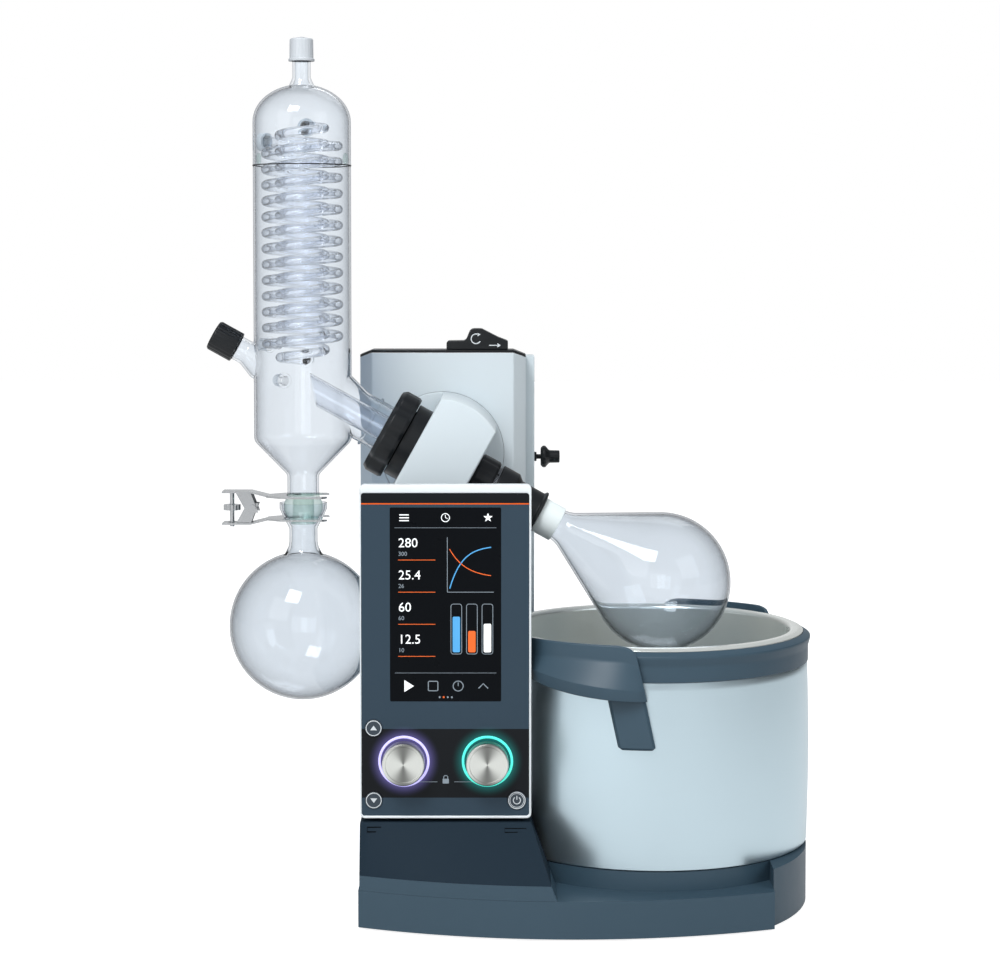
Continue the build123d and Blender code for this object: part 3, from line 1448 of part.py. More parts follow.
def clamp_nut():
    face = scalloped(CLAMP_NUT_R, CLAMP_NUT_GRIPS, CLAMP_NUT_SCALLOP, CLAMP_NUT_BITE)
    face -= Circle(CLAMP_SCREW_R + RUN)
    low = BALL_Z - CLAMP_NUT_T / 2
    return on_condenser(Pos(CLAMP_SCREW, 0) * prism(face, low, low + CLAMP_NUT_T))


def bath_casing():
    inner = BATH_R - BATH_SKIN
    middle = CASING_Z + CASING_H / 2
    edges = [
        Line((SPIGOT_R + RUN, CASING_Z), (BATH_R, CASING_Z)),
        ThreePointArc((BATH_R, CASING_Z), (BATH_R + BATH_BARREL, middle), (BATH_R, CASING_TOP)),
        Line((BATH_R, CASING_TOP), (inner, CASING_TOP)),
        ThreePointArc((inner, CASING_TOP), (inner + BATH_BARREL, middle), (inner, CASING_Z + BATH_SKIN)),
        Line((inner, CASING_Z + BATH_SKIN), (SPIGOT_R + RUN, CASING_Z + BATH_SKIN)),
        Line((SPIGOT_R + RUN, CASING_Z + BATH_SKIN), (SPIGOT_R + RUN, CASING_Z)),
    ]
    return Pos(BATH_X, 0) * revolve(Plane.XZ * make_face(edges), Axis.Z)


def bath_band():
    outer = BATH_R + BATH_BARREL / 2
    inner = VESSEL_R + VESSEL_WALL + SEAT
    body = turned(
        [
            (inner, CASING_TOP),
            (outer, CASING_TOP),
            (outer, BAND_TOP - 1),
            (inner + BAND_IN, BAND_TOP - 1),
            (inner, BAND_TOP - 4),
        ]
    )
    return Pos(BATH_X, 0) * body


def bath_vessel():
    wall = VESSEL_WALL
    outer = VESSEL_R + wall
    body = turned(
        [
            (0, VESSEL_FLOOR - wall),
            (outer, VESSEL_FLOOR - wall, VESSEL_CORNER + wall),
            (outer, CREST - RIM_ROLL),
            (outer + RIM_ROLL, CREST - wall),
            (LIP_R - 1, CREST - RIM_H),
            (LIP_R, CREST - RIM_H - LIP_HANG),
            (LIP_R, CREST - RIM_H - LIP_HANG + LIP_T),
            (outer + RIM_ROLL + 1, CREST),
            (outer + 1, CREST),
            (VESSEL_R, CREST - RIM_INSIDE),
            (VESSEL_R, VESSEL_FLOOR, VESSEL_CORNER),
            (0, VESSEL_FLOOR),
        ]
    )
    return Pos(BATH_X, 0) * body


def bath_heater():
    top = VESSEL_FLOOR - VESSEL_WALL
    ring = tube(HEATER_R, HEATER_R / 3, top - HEATER_T, top)
    return Pos(BATH_X, 0) * ring


def handle_section(share):
    """The handle cut across at a share of its way round the bath."""
    angle = radians(HANDLE_START + (HANDLE_END - HANDLE_START) * share)
    plane = Plane(
        origin=(BATH_X, 0, 0), x_dir=(cos(angle), sin(angle), 0), z_dir=(sin(angle), -cos(angle), 0)
    )
    inner = LIP_R + HANDLE_GAP
    top = CREST + HANDLE_TOP
    reach = inner + HANDLE_LIP + HANDLE_REACH * sin(pi * share**0.7)
    low = HANDLE_LOW + HANDLE_RISE * share
    wall = HANDLE_T
    points = [
        (inner, top),
        (inner + wall, top),
        (inner + wall + HANDLE_TURN, top - HANDLE_SKIRT),
        (reach, low + HANDLE_FOOT),
        (reach, low),
        (reach - wall, low),
        (reach - wall - HANDLE_TURN, low + HANDLE_FOOT - wall),
        (inner + HANDLE_TUCK, top - HANDLE_SKIRT - wall),
        (inner, top - HANDLE_SKIRT - wall - 2 * HANDLE_TURN),
    ]
    return plane * outline(points)


def bath_handle():
    cuts = [handle_section(i / (HANDLE_CUTS - 1)) for i in range(HANDLE_CUTS)]
    body = loft(cuts, ruled=True)
    low_left = TAB_LEFT + TAB_LEAN
    tab = outline(
        [
            (TAB_LEFT, HANDLE_LOW + TAB_TOP),
            (low_left, TAB_LOW, TAB_ROUND),
            (low_left + TAB_W, TAB_LOW, TAB_ROUND),
            (TAB_LEFT + TAB_W, HANDLE_LOW + TAB_TOP),
        ]
    )
    inner = BATH_R + BATH_BARREL + SEAT
    ring = tube(LIP_R + TAB_T, inner, TAB_LOW - 1, HANDLE_LOW + TAB_TOP + 1)
    leg = along_y(tab, -2 * BATH_R, 0) & ring
    return body + Pos(BATH_X, 0) * leg


def bath_handles():
    front = bath_handle()
    rear = Pos(BATH_X, 0) * Rot(0, 0, 180) * Pos(-BATH_X, 0) * front
    return Compound([front, rear])


PIECES = {
    "base_housing": base_housing,
    "bottom_plate": bottom_plate,
    "feet": feet,
    "front_cover": front_cover,
    "panel_back_shell": panel_back_shell,
    "panel_frame": panel_frame,
    "panel_pane": panel_pane,
    "display": display,
    "control_board": control_board,
    "light_rings": light_rings,
    "left_knob_shaft": lambda: knob_shaft(-1),
    "right_knob_shaft": lambda: knob_shaft(1),
    "left_knob": lambda: knob(-1),
    "right_knob": lambda: knob(1),
    "up_button": lambda: button("up"),
    "down_button": lambda: button("down"),
    "power_button": lambda: button("power"),
    "mains_inlet": mains_inlet,
    "mains_switch": mains_switch,
    "bath_socket": bath_socket,
    "lift_mast": lift_mast,
    "lift_motor": lift_motor,
    "lift_spindle": lift_spindle,
    "lift_carriage": lift_carriage,
    "guide_pads": guide_pads,
    "tower_shell": tower_shell,
    "tower_cap": tower_cap,
    "tower_back": tower_back,
    "tilt_ring": tilt_ring,
    "release_slider": release_slider,
    "stop_knob": stop_knob,
    "head_housing": head_housing,
    "drive_motor": drive_motor,
    "motor_pulley": motor_pulley,
    "drive_belt": drive_belt,
    "bearings": bearings,
    "vacuum_seal": vacuum_seal,
    "thread_ring": thread_ring,
    "union_nut": union_nut,
    "hollow_shaft": hollow_shaft,
    "push_off_nut": push_off_nut,
    "flask_clip": flask_clip,
    "flask_sleeve": flask_sleeve,
    "vapour_duct": vapour_duct,
    "evaporating_flask": evaporating_flask,
    "receiving_flask": receiving_flask,
    "condenser": condenser,
    "outer_coil": outer_coil,
    "inner_coil": inner_coil,
    "top_cap": top_cap,
    "side_port_cap": side_port_cap,
    "port_caps": port_caps,
    "clamp_upper_jaw": clamp_upper_jaw,
    "clamp_lower_jaw": clamp_lower_jaw,
    "clamp_nut": clamp_nut,
    "bath_casing": bath_casing,
    "bath_band": bath_band,
    "bath_vessel": bath_vessel,
    "bath_heater": bath_heater,
    "bath_handles": bath_handles,
}

os.makedirs("parts", exist_ok=True)
for piece_name, build_piece in PIECES.items():
    export_step(build_piece(), f"parts/{piece_name}.step")
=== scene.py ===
import logging
import math
from dataclasses import dataclass
from enum import Enum
from typing import Callable, Optional, Sequence

import bmesh
import bpy
from mathutils import Matrix, Vector


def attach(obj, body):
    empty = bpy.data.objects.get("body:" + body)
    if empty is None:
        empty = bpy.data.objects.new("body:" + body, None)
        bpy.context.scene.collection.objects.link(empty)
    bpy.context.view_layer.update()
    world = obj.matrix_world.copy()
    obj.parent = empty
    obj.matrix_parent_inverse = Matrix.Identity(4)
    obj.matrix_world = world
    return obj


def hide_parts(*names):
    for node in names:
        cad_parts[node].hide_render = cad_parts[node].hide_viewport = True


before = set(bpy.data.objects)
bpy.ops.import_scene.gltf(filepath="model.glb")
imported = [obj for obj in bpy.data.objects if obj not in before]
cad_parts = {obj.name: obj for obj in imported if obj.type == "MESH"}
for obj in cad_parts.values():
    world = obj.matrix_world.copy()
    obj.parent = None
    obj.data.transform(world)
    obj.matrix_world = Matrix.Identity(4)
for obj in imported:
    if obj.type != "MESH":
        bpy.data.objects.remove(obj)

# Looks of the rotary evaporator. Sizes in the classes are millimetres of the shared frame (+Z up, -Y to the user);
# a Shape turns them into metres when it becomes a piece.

LOG = logging.getLogger("rotary_evaporator")
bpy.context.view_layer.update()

MM = 0.001
DROP = math.radians(29.0)
PIVOT = Vector((-59.5, 0.0, 382.8))
BATH_X = 126.39
COND_X = PIVOT.x - 138.8 * math.cos(DROP)

ROW = Matrix.Identity(4)
DRIVE = Matrix(
    (
        (math.sin(DROP), 0.0, math.cos(DROP), PIVOT.x),
        (0.0, -1.0, 0.0, PIVOT.y),
        (math.cos(DROP), 0.0, -math.sin(DROP), PIVOT.z),
        (0.0, 0.0, 0.0, 1.0),
    )
)
CONDENSER = Matrix.Translation((COND_X, 0.0, 0.0))
BATH = Matrix.Translation((BATH_X, 0.0, 0.0))
TO_BACK = Vector((math.radians(-90.0), 0.0, 0.0))

Colour = tuple[float, float, float, float]
Point2 = tuple[float, float]
Corner = tuple[float, ...]
Wave = Callable[[float, float], float]
Piece = bpy.types.Object
Node = bpy.types.Node
Socket = bpy.types.NodeSocket
Tree = bpy.types.NodeTree


def srgb(red: float, green: float, blue: float) -> Colour:
    """Turns screen values into a linear colour.

    Args:
        red: Red from 0 to 255.
        green: Green from 0 to 255.
        blue: Blue from 0 to 255.

    Returns:
        The linear colour with an alpha of one.
    """
    shares = [value / 255.0 for value in (red, green, blue)]
    linear = [share / 12.92 if share <= 0.04045 else ((share + 0.055) / 1.055) ** 2.4 for share in shares]
    return (linear[0], linear[1], linear[2], 1.0)


def facing(x: float, y: float, z: float) -> Matrix:
    """Gives a place on the front: local X is right, local Y is up and local Z comes towards the user."""
    return Matrix(((1.0, 0.0, 0.0, x), (0.0, 0.0, -1.0, y), (0.0, 1.0, 0.0, z), (0.0, 0.0, 0.0, 1.0)))


def arc(centre: Point2, radius: float, start: float, end: float, steps: int) -> list[Point2]:
    """Lays points along an arc between two angles in degrees, both ends included."""
    angles = [math.radians(start + (end - start) * index / steps) for index in range(steps + 1)]
    return [(centre[0] + radius * math.cos(turn), centre[1] + radius * math.sin(turn)) for turn in angles]


def circle(centre: Point2, radius: float, steps: int = 64) -> list[Point2]:
    """Lays points round a whole circle."""
    return arc(centre, radius, 0.0, 360.0, steps)[:-1]


def circle_through(first: Point2, second: Point2, third: Point2) -> tuple[Point2, float]:
    """Finds the circle through three points.

    Args:
        first: One point.
        second: Another point.
        third: The last point.

    Returns:
        The centre and the radius.
    """
    (ax, ay), (bx, by), (cx, cy) = first, second, third
    turn = 2.0 * (ax * (by - cy) + bx * (cy - ay) + cx * (ay - by))
    squares = (ax * ax + ay * ay, bx * bx + by * by, cx * cx + cy * cy)
    x = (squares[0] * (by - cy) + squares[1] * (cy - ay) + squares[2] * (ay - by)) / turn
    y = (squares[0] * (cx - bx) + squares[1] * (ax - cx) + squares[2] * (bx - ax)) / turn
    return (x, y), math.hypot(ax - x, ay - y)


def fillet(corners: Sequence[Corner], closed: bool = True, steps: int = 5) -> list[Point2]:
    """Rounds the corners of a path.

    Args:
        corners: Points with an optional third value, the corner's radius.
        closed: Whether the path joins its ends.
        steps: Number of parts of each rounded corner.

    Returns:
        The points of the rounded path.
    """
    count = len(corners)
    path: list[Point2] = []
    for index, corner in enumerate(corners):
        here = Vector(corner[:2])
        radius = corner[2] if len(corner) > 2 else 0.0
        if radius <= 0.0 or (not closed and index in (0, count - 1)):
            path.append((here.x, here.y))
            continue
        back = (Vector(corners[index - 1][:2]) - here).normalized()
        ahead = (Vector(corners[(index + 1) % count][:2]) - here).normalized()
        half = back.angle(ahead) / 2.0
        centre = here + (back + ahead).normalized() * (radius / math.sin(half))
        first = here + back * (radius / math.tan(half)) - centre
        last = here + ahead * (radius / math.tan(half)) - centre
        for step in range(steps + 1):
            share = step / steps
            spot = centre + (first * (1.0 - share) + last * share).normalized() * radius
            path.append((spot.x, spot.y))
    return path


def rectangle(left: float, low: float, right: float, high: float, radius: float = 0.0) -> list[Point2]:
    """Gives a rectangle with rounded corners."""
    return fillet([(left, low, radius), (right, low, radius), (right, high, radius), (left, high, radius)])


def turning(outline: Sequence[Point2]) -> float:
    """Measures twice the signed area of an outline, above zero where it runs anticlockwise."""
    pairs = zip(outline, list(outline[1:]) + [outline[0]])
    return sum(a[0] * b[1] - b[0] * a[1] for a, b in pairs)


def inset(outline: Sequence[Point2], depth: float) -> list[Point2]:
    """Moves an outline to its left by a depth.

    Args:
        outline: Closed outline.
        depth: Distance to move.

    Returns:
        The moved outline, with as many points.
    """
    moved: list[Point2] = []
    count = len(outline)
    for index in range(count):
        here = Vector(outline[index])
        back = (here - Vector(outline[index - 1])).normalized()
        ahead = (Vector(outline[(index + 1) % count]) - here).normalized()
        side = Vector((-back.y - ahead.y, back.x + ahead.x)).normalized()
        reach = depth / max(side.dot(Vector((-back.y, back.x))), 0.3)
        moved.append((here.x + side.x * reach, here.y + side.y * reach))
    return moved


def ribbed(count: float, depth: float, power: int = 1, above: float = 0.0) -> Wave:
    """Makes a wave that presses grooves into the wide part of a turned profile.

    Args:
        count: Number of grooves round the axis.
        depth: Share of the radius that a groove takes away.
        power: How narrow the grooves are.
        above: Radius up to which the profile stays round.

    Returns:
        The wave.
    """

    def wave(size: float, turn: float) -> float:
        """Gives the radius at one angle."""
        bite = (0.5 + 0.5 * math.cos(count * turn)) ** power
        return size * (1.0 - depth * bite) if size > above else size

    return wave


def knurled(size: float, turn: float) -> float:
    """Swells and narrows a radius eighteen times round."""
    return size * (1.0 + 0.02 * math.cos(18.0 * turn))


def lobed(size: float, turn: float) -> float:
    """Bites eight grips out of the wide part of a nut."""
    bite = 0.5 + 0.5 * math.cos(8.0 * turn)
    return size - 3.2 * bite**2 if size > 30.0 else size


def hold(name: str, data: Optional[bpy.types.ID]) -> Piece:
    """Adds an object with this data to the scene."""
    holder = bpy.data.objects.new(name, data)
    bpy.context.scene.collection.objects.link(holder)
    return holder


def discard(holder: Piece) -> None:
    """Takes an object and its mesh out of the file."""
    used = holder.data
    bpy.data.objects.remove(holder)
    bpy.data.meshes.remove(used)


class NodeBench:
    """Adds and joins the nodes of one tree."""

    def __init__(self, tree: Tree) -> None:
        """Keeps the tree that is worked on."""
        self.tree = tree

    def add(self, kind: str, values: Optional[dict] = None, **settings: object) -> Node:
        """Adds one node.

        Args:
            kind: Blender's name of the node type.
            values: Input values, or sockets to join, by input name or index.
            settings: Properties of the node.

        Returns:
            The new node.
        """
        node = self.tree.nodes.new(kind)
        for name, value in settings.items():
            setattr(node, name, value)
        for key, value in (values or {}).items():
            if isinstance(value, Socket):
                self.tree.links.new(value, node.inputs[key])
            else:
                node.inputs[key].default_value = value
        return node

    def math(self, operation: str, first: object, second: object = 0.0, clamp: bool = False) -> Socket:
        """Adds a Math node and returns its result."""
        return self.add("ShaderNodeMath", {0: first, 1: second}, operation=operation, use_clamp=clamp).outputs[0]

    def blend(self, share: object, first: object, second: object) -> Socket:
        """Adds a colour Mix node and returns its result."""
        return self.add("ShaderNodeMix", {0: share, 6: first, 7: second}, data_type="RGBA").outputs[2]

    def span(self, value: object, low: float, high: float, start: float, end: float) -> Socket:
        """Adds a clamped Map Range node and returns its result."""
        return self.add("ShaderNodeMapRange", {0: value, 1: low, 2: high, 3: start, 4: end}).outputs[0]

    def feed(self, node: Node, **sockets: Socket) -> None:
        """Joins sockets to a node's inputs, named with a low line for each space."""
        for name, socket in sockets.items():
            self.tree.links.new(socket, node.inputs[name.replace("_", " ")])


class Effect(Enum):
    """Shader node groups that several finishes share."""

    MOULDED = "moulded_grain"
    TURNED = "turned_lines_painted_reflection"

    def group(self) -> Tree:
        """Returns the effect's node group, made on its first use."""
        tree = bpy.data.node_groups.get(self.value)
        if tree is None:
            tree = bpy.data.node_groups.new(self.value, "ShaderNodeTree")
            for way, name, kind in (
                ("INPUT", "Vector", "Vector"), ("INPUT", "Colour", "Color"), ("INPUT", "Roughness", "Float"),
                ("INPUT", "Size", "Float"), ("INPUT", "Drift", "Float"), ("INPUT", "PaintedReflection", "Float"),
                ("OUTPUT", "Colour", "Color"), ("OUTPUT", "Roughness", "Float"), ("OUTPUT", "Height", "Float"),
            ):
                tree.interface.new_socket(name, in_out=way, socket_type=f"NodeSocket{kind}")
            self._fill(NodeBench(tree))
        return tree

    def _fill(self, bench: NodeBench) -> None:
        """Lays out the group's nodes.

        Args:
            bench: Bench on the new group.
        """
        given = bench.add("NodeGroupInput").outputs
        grow = bench.math("DIVIDE", 1.0, given["Size"])
        if self is Effect.MOULDED:
            fine = bench.add("ShaderNodeVectorMath", {0: given["Vector"], 3: grow}, operation="SCALE").outputs[0]
        else:
            parts = bench.add("ShaderNodeSeparateXYZ", {0: given["Vector"]}).outputs
            squares = bench.math("ADD", bench.math("POWER", parts[0], 2.0), bench.math("POWER", parts[1], 2.0))
            radius = bench.math("MULTIPLY", bench.math("SQRT", squares), grow)
            height = bench.math("MULTIPLY", parts[2], grow)
            fine = bench.add("ShaderNodeCombineXYZ", {0: radius, 1: height}).outputs[0]
        grain = bench.add("ShaderNodeTexNoise", {"Vector": fine, "Scale": 1.0, "Detail": 2.0}).outputs[0]
        broad = bench.add("ShaderNodeTexNoise", {"Vector": given["Vector"], "Scale": 11.0, "Detail": 3.0}).outputs[0]
        worn = bench.add("ShaderNodeTexNoise", {"Vector": given["Vector"], "Scale": 70.0, "Detail": 3.0}).outputs[0]
        source = broad if self is Effect.MOULDED else grain
        swing = bench.math("MULTIPLY", bench.math("SUBTRACT", source, 0.5), given["Drift"])
        tone = bench.math("ADD", 1.0, bench.math("MULTIPLY", swing, 2.0))
        # Painted reflection: dark wedges on two opposite sides of the axis stand in for the sectors that turned metal
        # mirrors dark.
        if self is Effect.TURNED:
            turn = bench.math("ARCTAN2", parts[1], parts[0])
            wedge = bench.math("POWER", bench.math("ABSOLUTE", bench.math("SINE", turn)), 4.0)
            dark = bench.math("MULTIPLY", wedge, given["PaintedReflection"])
            tone = bench.math("MULTIPLY", tone, bench.math("SUBTRACT", 1.0, dark))
        colour = bench.add("ShaderNodeVectorMath", {0: given["Colour"], 3: tone}, operation="SCALE").outputs[0]
        wear = bench.math("MULTIPLY", bench.math("SUBTRACT", worn, 0.5), bench.math("MULTIPLY", given["Drift"], 2.0))
        rough = bench.math("ADD", given["Roughness"], wear, clamp=True)
        bench.add("NodeGroupOutput", {"Colour": colour, "Roughness": rough, "Height": grain})


@dataclass(frozen=True)
class Finish:
    """A solid finish with a fine surface grain."""

    name: str
    slot: str
    colour: Colour
    roughness: float
    metallic: float = 0.0
    size: float = 0.7
    depth: float = 0.02
    drift: float = 0.05
    effect: Effect = Effect.MOULDED
    centre: tuple[float, float, float] = (0.0, 0.0, 0.0)
    tilt: tuple[float, float, float] = (0.0, 0.0, 0.0)
    glow: float = 0.0
    specular: float = 0.5
    # Strength of the dark wedges painted on turned metal: painted reflection.
    painted_reflection: float = 0.0

    def material(self) -> bpy.types.Material:
        """Returns the finish as a material, made on its first use."""
        title = f"{self.name}_finish"
        made = bpy.data.materials.get(title)
        if made is not None:
            return made
        made = bpy.data.materials.new(title)
        made.use_nodes = True
        made.node_tree.nodes.clear()
        bench = NodeBench(made.node_tree)
        shader = bench.add(
            "ShaderNodeBsdfPrincipled", {"Metallic": self.metallic, "Specular IOR Level": self.specular}
        )
        self.paint(bench, shader)
        out = bench.add("ShaderNodeOutputMaterial", {"Surface": shader.outputs[0]})
        self.after(bench, shader, out)
        return made

    def vector(self, bench: NodeBench) -> Socket:
        """Gives the object coordinates, centred and turned for this finish.

        Args:
            bench: Bench on the material.

        Returns:
            The coordinates' socket.
        """
        raw = bench.add("ShaderNodeTexCoord").outputs["Object"]
        middle = [value * MM for value in self.centre]
        values = {"Vector": raw, "Location": middle, "Rotation": self.tilt}
        return bench.add("ShaderNodeMapping", values, vector_type="TEXTURE").outputs[0]

    def paint(self, bench: NodeBench, shader: Node) -> None:
        """Joins the grain to the shader."""
        self.grain(bench, shader, self.colour)

    def grain(self, bench: NodeBench, shader: Node, colour: object) -> None:
        """Adds the finish's effect and joins its colour, roughness and relief.

        Args:
            bench: Bench on the material.
            shader: The Principled node.
            colour: Colour, or a socket that gives it.
        """
        values = {
            "Vector": self.vector(bench), "Colour": colour, "Roughness": self.roughness, "Size": self.size * MM,
            "Drift": self.drift, "PaintedReflection": self.painted_reflection,
        }
        made = bench.add("ShaderNodeGroup", values, node_tree=self.effect.group()).outputs
        bump = bench.add("ShaderNodeBump", {"Height": made["Height"], "Distance": self.depth * MM}).outputs[0]
        bench.feed(shader, Base_Color=made["Colour"], Roughness=made["Roughness"], Normal=bump)
        if self.glow > 0.0:
            bench.feed(shader, Emission_Color=made["Colour"])
            shader.inputs["Emission Strength"].default_value = self.glow

    def after(self, bench: NodeBench, shader: Node, out: Node) -> None:
        """Leaves the finished tree as it is; glass adds to it."""


@dataclass(frozen=True)
class Glass(Finish):
    """Clear blown glass whose darker, bluish edges are painted shade standing in for dark reflections."""

    # Colour at the outline: painted shade standing in for dark reflections.
    edge: Colour = srgb(50, 58, 74)
    reach: float = 2.9
    ior: float = 1.04
    gloss: float = 0.5

    def paint(self, bench: NodeBench, shader: Node) -> None:
        """Tints the glass towards its outline with painted shade, where its gloss fades.

        Args:
            bench: Bench on the material.
            shader: The Principled node.
        """
        for name, value in (
            ("Transmission Weight", 1.0), ("Roughness", self.roughness), ("IOR", self.ior), ("Coat Roughness", 0.02),
        ):
            shader.inputs[name].default_value = value
        lean = bench.add("ShaderNodeLayerWeight", {"Blend": 0.5}).outputs["Facing"]
        share = bench.math("POWER", lean, self.reach)
        tint = bench.blend(share, self.colour, self.edge)
        place = self.vector(bench)
        drift = bench.add("ShaderNodeTexNoise", {"Vector": place, "Scale": 14.0, "Detail": 1.0}).outputs[0]
        tone = bench.span(drift, 0.3, 0.7, 1.0 - self.drift, 1.0)
        colour = bench.add("ShaderNodeVectorMath", {0: tint, 3: tone}, operation="SCALE").outputs[0]
        bench.feed(shader, Base_Color=colour, Coat_Weight=bench.span(share, 0.0, 0.5, self.gloss, 0.0))

    def after(self, bench: NodeBench, shader: Node, out: Node) -> None:
        """Lets light through for shadows.

        Args:
            bench: Bench on the material.
            shader: The Principled node.
            out: The output node.
        """
        clear = bench.add("ShaderNodeBsdfTransparent", {"Color": srgb(240, 244, 248)})
        shadow = bench.add("ShaderNodeLightPath").outputs["Is Shadow Ray"]
        mixed = bench.add("ShaderNodeMixShader", {0: shadow, 1: shader.outputs[0], 2: clear.outputs[0]})
        bench.feed(out, Surface=mixed.outputs[0])


@dataclass(frozen=True)
class PaneFinish(Finish):
    """The printed front pane: level bands of colour, and painted light where the two light rings glow on it."""

    bands: tuple[tuple[float, Colour], ...] = ()
    low: float = 91.0
    high: float = 372.0
    painted_halos: tuple[tuple[float, float, float, Colour], ...] = ()
    inner: float = 21.4
    outer: float = 31.0
    shine: float = 0.3

    def paint(self, bench: NodeBench, shader: Node) -> None:
        """Prints the bands and adds painted light round the two rings.

        Args:
            bench: Bench on the material.
            shader: The Principled node.
        """
        raw = bench.add("ShaderNodeTexCoord").outputs["Object"]
        level = bench.add("ShaderNodeSeparateXYZ", {0: raw}).outputs[2]
        share = bench.span(level, self.low * MM, self.high * MM, 0.0, 1.0)
        ramp = bench.add("ShaderNodeValToRGB", {0: share})
        ramp.color_ramp.interpolation = "CONSTANT"
        stops = ramp.color_ramp.elements
        while len(stops) < len(self.bands):
            stops.new(0.5)
        for stop, (height, colour) in zip(stops, self.bands):
            stop.position = (height - self.low) / (self.high - self.low)
            stop.color = colour
        self.grain(bench, shader, ramp.outputs[0])
        total: object = (0.0, 0.0, 0.0)
        # Painted light: each ring's glow is painted onto the pane as emission that fades with distance.
        for x, y, z, colour in self.painted_halos:
            spot = (x * MM, y * MM, z * MM)
            away = bench.add("ShaderNodeVectorMath", {0: raw, 1: spot}, operation="DISTANCE").outputs["Value"]
            near = bench.math("POWER", bench.span(away, self.inner * MM, self.outer * MM, 1.0, 0.0), 2.0)
            light = bench.add("ShaderNodeVectorMath", {0: colour[:3], 3: near}, operation="SCALE").outputs[0]
            total = bench.add("ShaderNodeVectorMath", {0: total, 1: light}, operation="ADD").outputs[0]
        bench.feed(shader, Emission_Color=total)
        shader.inputs["Emission Strength"].default_value = self.shine


Y_AXIS = (math.radians(90.0), 0.0, 0.0)
SLATE_SHADE = srgb(53, 74, 88)
PANE_SHADE = srgb(50, 66, 79)
BLACK_SHADE = srgb(19, 22, 26)

SLATE = Finish("slate_moulding", "slate_plastic", SLATE_SHADE, 0.44, size=0.8, depth=0.015, drift=0.03, specular=0.35)
# Darker slate for the sloped cover under the panel: painted shadow cast by the panel's overhang.
SLATE_PAINTED_SHADOW = Finish(
    "cover_painted_shadow", "slate_plastic", srgb(31, 44, 55), 0.6, size=0.8, depth=0.015, drift=0.03, specular=0.05
)
LIGHT = Finish("light_coat", "light_paint", srgb(199, 210, 216), 0.42, size=0.9, depth=0.006, drift=0.02)
LIGHT_SIDE = Finish("light_moulding", "light_paint", srgb(196, 208, 214), 0.5, size=0.9, depth=0.015, drift=0.02)
FRAME_WHITE = Finish("frame_white", "white_plastic", srgb(222, 229, 233), 0.38, size=0.9, depth=0.008, drift=0.02)
BLACK = Finish("black_moulding", "black_plastic", srgb(18, 21, 24), 0.36, size=0.6, depth=0.01, specular=0.3)
BLACK_SOFT = Finish("black_matt", "black_plastic", srgb(16, 18, 21), 0.55, size=0.6, depth=0.02, specular=0.25)
# Near-black for the cover slots: painted shade in their gaps.
SLOT_PAINTED_SHADE = Finish("slot_painted_shade", "black_plastic", srgb(7, 9, 11), 0.7, size=0.6, depth=0.02, specular=0.02)
DISPLAY = Finish("display_ground", "screen", srgb(8, 11, 15), 0.35, size=2.0, depth=0.0005, drift=0.2, specular=0.06)
PRINT_WHITE = Finish("print_white", "screen", srgb(232, 236, 238), 0.4, depth=0.002, glow=0.5)
PRINT_GREY = Finish("print_grey", "screen", srgb(126, 138, 148), 0.4, depth=0.002, glow=0.2)
PRINT_ORANGE = Finish("print_orange", "screen", srgb(219, 92, 22), 0.4, depth=0.002, glow=0.35)
PRINT_BLUE = Finish("print_blue", "screen", srgb(70, 150, 205), 0.4, depth=0.002, glow=0.35)
KEY_FACE = Finish("key_face", "black_plastic", srgb(38, 51, 62), 0.32, depth=0.006)
KEY_PRINT = Finish("key_print", "black_plastic", srgb(205, 212, 217), 0.45, depth=0.004)
# The knobs' dark wedges are painted reflection of turned metal.
KNOB_LEFT, KNOB_RIGHT = (
    Finish(
        f"{side}_knob_metal_painted_reflection", "brushed_aluminium", srgb(222, 224, 219), 0.42, 1.0, 0.25, 0.004, 0.08, painted_reflection=0.72,
        effect=Effect.TURNED, centre=(x, 0.0, 139.5), tilt=Y_AXIS,
    )
    for side, x in (("left", -87.5), ("right", -17.5))
)
RING_VIOLET = Finish("ring_violet", "light_ring", srgb(190, 184, 244), 0.3, depth=0.002, glow=0.75)
RING_TURQUOISE = Finish("ring_turquoise", "light_ring", srgb(74, 222, 202), 0.3, depth=0.002, glow=0.75)
BATH_SKIN = Finish(
    "bath_satin", "bath_silver", srgb(196, 214, 222), 0.34, 0.95, 0.5, 0.0005, 0.015,
    effect=Effect.TURNED, centre=(BATH_X, 0.0, 0.0),
)
VESSEL_STEEL = Finish(
    "vessel_steel", "steel", srgb(220, 224, 220), 0.2, 0.6, 0.6, 0.0005, 0.02,
    effect=Effect.TURNED, centre=(BATH_X, 0.0, 0.0),
)
CLAMP_STEEL = Finish("clamp_nickel", "clamp_steel", srgb(190, 192, 194), 0.24, 1.0, 1.4, 0.01, 0.05)
BARE_STEEL = Finish("bare_steel", "bare_steel", srgb(158, 162, 168), 0.34, 1.0, 0.8, 0.01, 0.05)
GREY_CAP = Finish("grey_cap", "grey_cap", srgb(186, 192, 198), 0.4, size=0.8, depth=0.015)
# The hose port caps glow though they are no lamps: painted light that brightens their shaded insides seen through the
# glass.
PORT_CAP_PAINTED_GLOW = Finish("port_cap", "grey_cap", srgb(200, 205, 208), 0.5, size=0.8, depth=0.01, glow=0.45)
SLEEVE = Finish("white_sleeve", "white_sleeve", srgb(226, 236, 238), 0.42, size=0.8, depth=0.01)
BOARD = Finish("circuit_board", "circuit_board", srgb(22, 78, 52), 0.45, size=1.2, depth=0.01)
RUBBER = Finish("rubber", "rubber", srgb(24, 24, 25), 0.75, size=0.8, depth=0.04)
SEAL = Finish("seal_white", "seal_white", srgb(224, 224, 220), 0.5)
